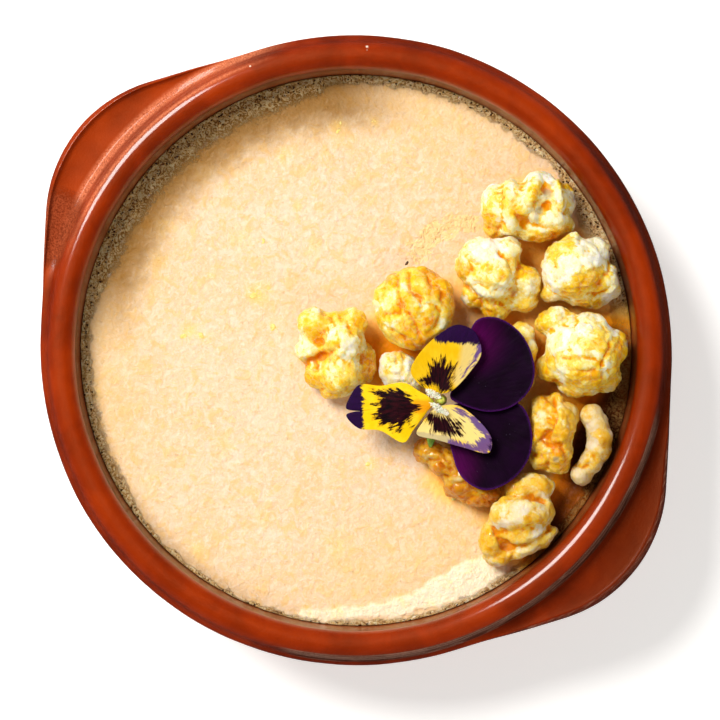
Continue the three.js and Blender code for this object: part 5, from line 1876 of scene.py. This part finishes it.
class FLAN_OT_stage(bpy.types.Operator):
    """Sets out the floor, the soft light and the camera straight above"""

    bl_idname = "flan.make_stage"
    bl_label = "Floor, Lights and Camera"

    def execute(self, context):
        settings = context.scene.flan_stage
        deselect()
        bpy.ops.mesh.primitive_plane_add(size=FLOOR_WIDTH, location=(0.0, 0.0, -FLOOR_DROP))
        bpy.ops.object.transform_apply(location=True, rotation=True, scale=True)
        floor = context.object
        floor.name = "floor"
        paper = Finish("floor_finish", Specular_IOR_Level=0.1)
        tooth = paper.clouds(0.4, 4.0, 0.6)
        paper.put(
            Base_Color=paper.mix(tooth * 0.1, colour(settings.floor), over(240, 239, 237)),
            Roughness=paper.spread(tooth, 0.2, 0.8, 0.75, 0.9),
            Normal=paper.bump(tooth, 0.02, 0.3),
        )
        paper.shader.inputs["Emission Color"].default_value = colour(settings.floor)
        paper.shader.inputs["Emission Strength"].default_value = 0.4
        floor.data.materials.append(paper.material)
        floor.visible_glossy = False

        world = context.scene.world or bpy.data.worlds.new("studio")
        context.scene.world = world
        world.use_nodes = True
        # a studio with pale walls and a darker ceiling, so that what lies flat keeps its colour
        tree = world.node_tree
        sky = tree.nodes["Background"]
        sky.inputs["Color"].default_value = over(252, 250, 248)
        towards = tree.nodes.new("ShaderNodeTexCoord")
        apart = tree.nodes.new("ShaderNodeSeparateXYZ")
        fall = tree.nodes.new("ShaderNodeMapRange")
        fall.interpolation_type = "SMOOTHSTEP"
        fall.inputs["From Min"].default_value = 0.25
        fall.inputs["From Max"].default_value = 0.95
        fall.inputs["To Min"].default_value = WALL_LIGHT
        fall.inputs["To Max"].default_value = CEILING_LIGHT
        tree.links.new(towards.outputs["Generated"], apart.inputs[0])
        tree.links.new(apart.outputs["Z"], fall.inputs["Value"])
        # the walls light the dish but are draped dark where its glaze would mirror them
        path = tree.nodes.new("ShaderNodeLightPath")
        drape = tree.nodes.new("ShaderNodeMapRange")
        drape.inputs["To Min"].default_value = 1.0
        drape.inputs["To Max"].default_value = MIRRORED_LIGHT
        both = tree.nodes.new("ShaderNodeMath")
        both.operation = "MULTIPLY"
        tree.links.new(path.outputs["Is Glossy Ray"], drape.inputs["Value"])
        tree.links.new(fall.outputs[0], both.inputs[0])
        tree.links.new(drape.outputs[0], both.inputs[1])
        tree.links.new(both.outputs[0], sky.inputs["Strength"])

        # the main light stands where the photograph's does, to its upper left
        for name, turn, height, away, wide, power in (
                ("key_light", 176.0, 51.0, 2.0, 0.9, settings.key_power),
                ("fill_light", -30.0, 48.0, 2.0, 1.8, settings.key_power * FILL_SHARE)):
            bpy.ops.object.light_add(type="AREA")
            lamp = context.object
            lamp.name = name
            lamp.data.shape = "DISK"
            lamp.data.size = wide
            lamp.data.energy = power
            lamp.data.color = LAMP_TINT
            lamp.visible_glossy = name == "key_light"
            side = math.radians(turn)
            up = math.radians(height)
            at = Vector((math.cos(side) * math.cos(up), math.sin(side) * math.cos(up),
                         math.sin(up))) * away
            lamp.location = at
            lamp.rotation_euler = (-at).to_track_quat("-Z", "Y").to_euler()

        width = PHOTO_PIXELS * PHOTO_SCALE * MM
        middle = PHOTO_PIXELS / 2.0
        over_u, over_v = from_pixel(middle, middle)
        rim = DISH_HEIGHT * MM
        bpy.ops.object.camera_add()
        camera = context.object
        camera.name = "camera"
        camera.location = row_place(over_u, over_v) + Vector((0, 0, rim + settings.camera_distance))
        camera.rotation_euler = (0.0, 0.0, TURN)
        camera.data.sensor_width = SENSOR_WIDTH
        camera.data.lens = SENSOR_WIDTH * settings.camera_distance / width
        camera.data.clip_start = 0.05
        camera.data.clip_end = 20.0
        context.scene.camera = camera
        context.scene.view_settings.view_transform = "Standard"
        return {"FINISHED"}


# ---------------------------------------------------------------- panel and running


OPERATORS = (
    FLAN_OT_stage, FLAN_OT_dish, FLAN_OT_custard, FLAN_OT_bits, FLAN_OT_popcorn,
    FLAN_OT_petals, FLAN_OT_heart,
)


class FLAN_PT_sidebar(bpy.types.Panel):
    """Lists the flan's pieces and their settings"""

    bl_idname = "FLAN_PT_sidebar"
    bl_label = "Corn Flan"
    bl_space_type = "VIEW_3D"
    bl_region_type = "UI"
    bl_category = "Flan"

    def draw(self, context):
        for operator in OPERATORS:
            self.layout.operator(operator.bl_idname)
        for name, group in SETTINGS.items():
            box = self.layout.box()
            box.label(text=group.__doc__)
            for key in group.__annotations__:
                box.prop(getattr(context.scene, name), key)


def register():
    for group in (*SETTINGS.values(), *OPERATORS, FLAN_PT_sidebar):
        bpy.utils.register_class(group)
    for name, group in SETTINGS.items():
        setattr(bpy.types.Scene, name, bpy.props.PointerProperty(type=group))


def unregister():
    for name in SETTINGS:
        delattr(bpy.types.Scene, name)
    for group in (FLAN_PT_sidebar, *reversed(OPERATORS), *reversed(SETTINGS.values())):
        bpy.utils.unregister_class(group)


def main():
    """Builds everything in order."""
    register()
    bpy.ops.flan.make_stage()
    bpy.ops.flan.make_dish()
    bpy.ops.flan.make_custard()
    bpy.ops.flan.make_bits()
    bpy.ops.flan.make_popcorn()
    bpy.ops.flan.make_petals()
    bpy.ops.flan.make_heart()


if __name__ == "__main__":
    main()
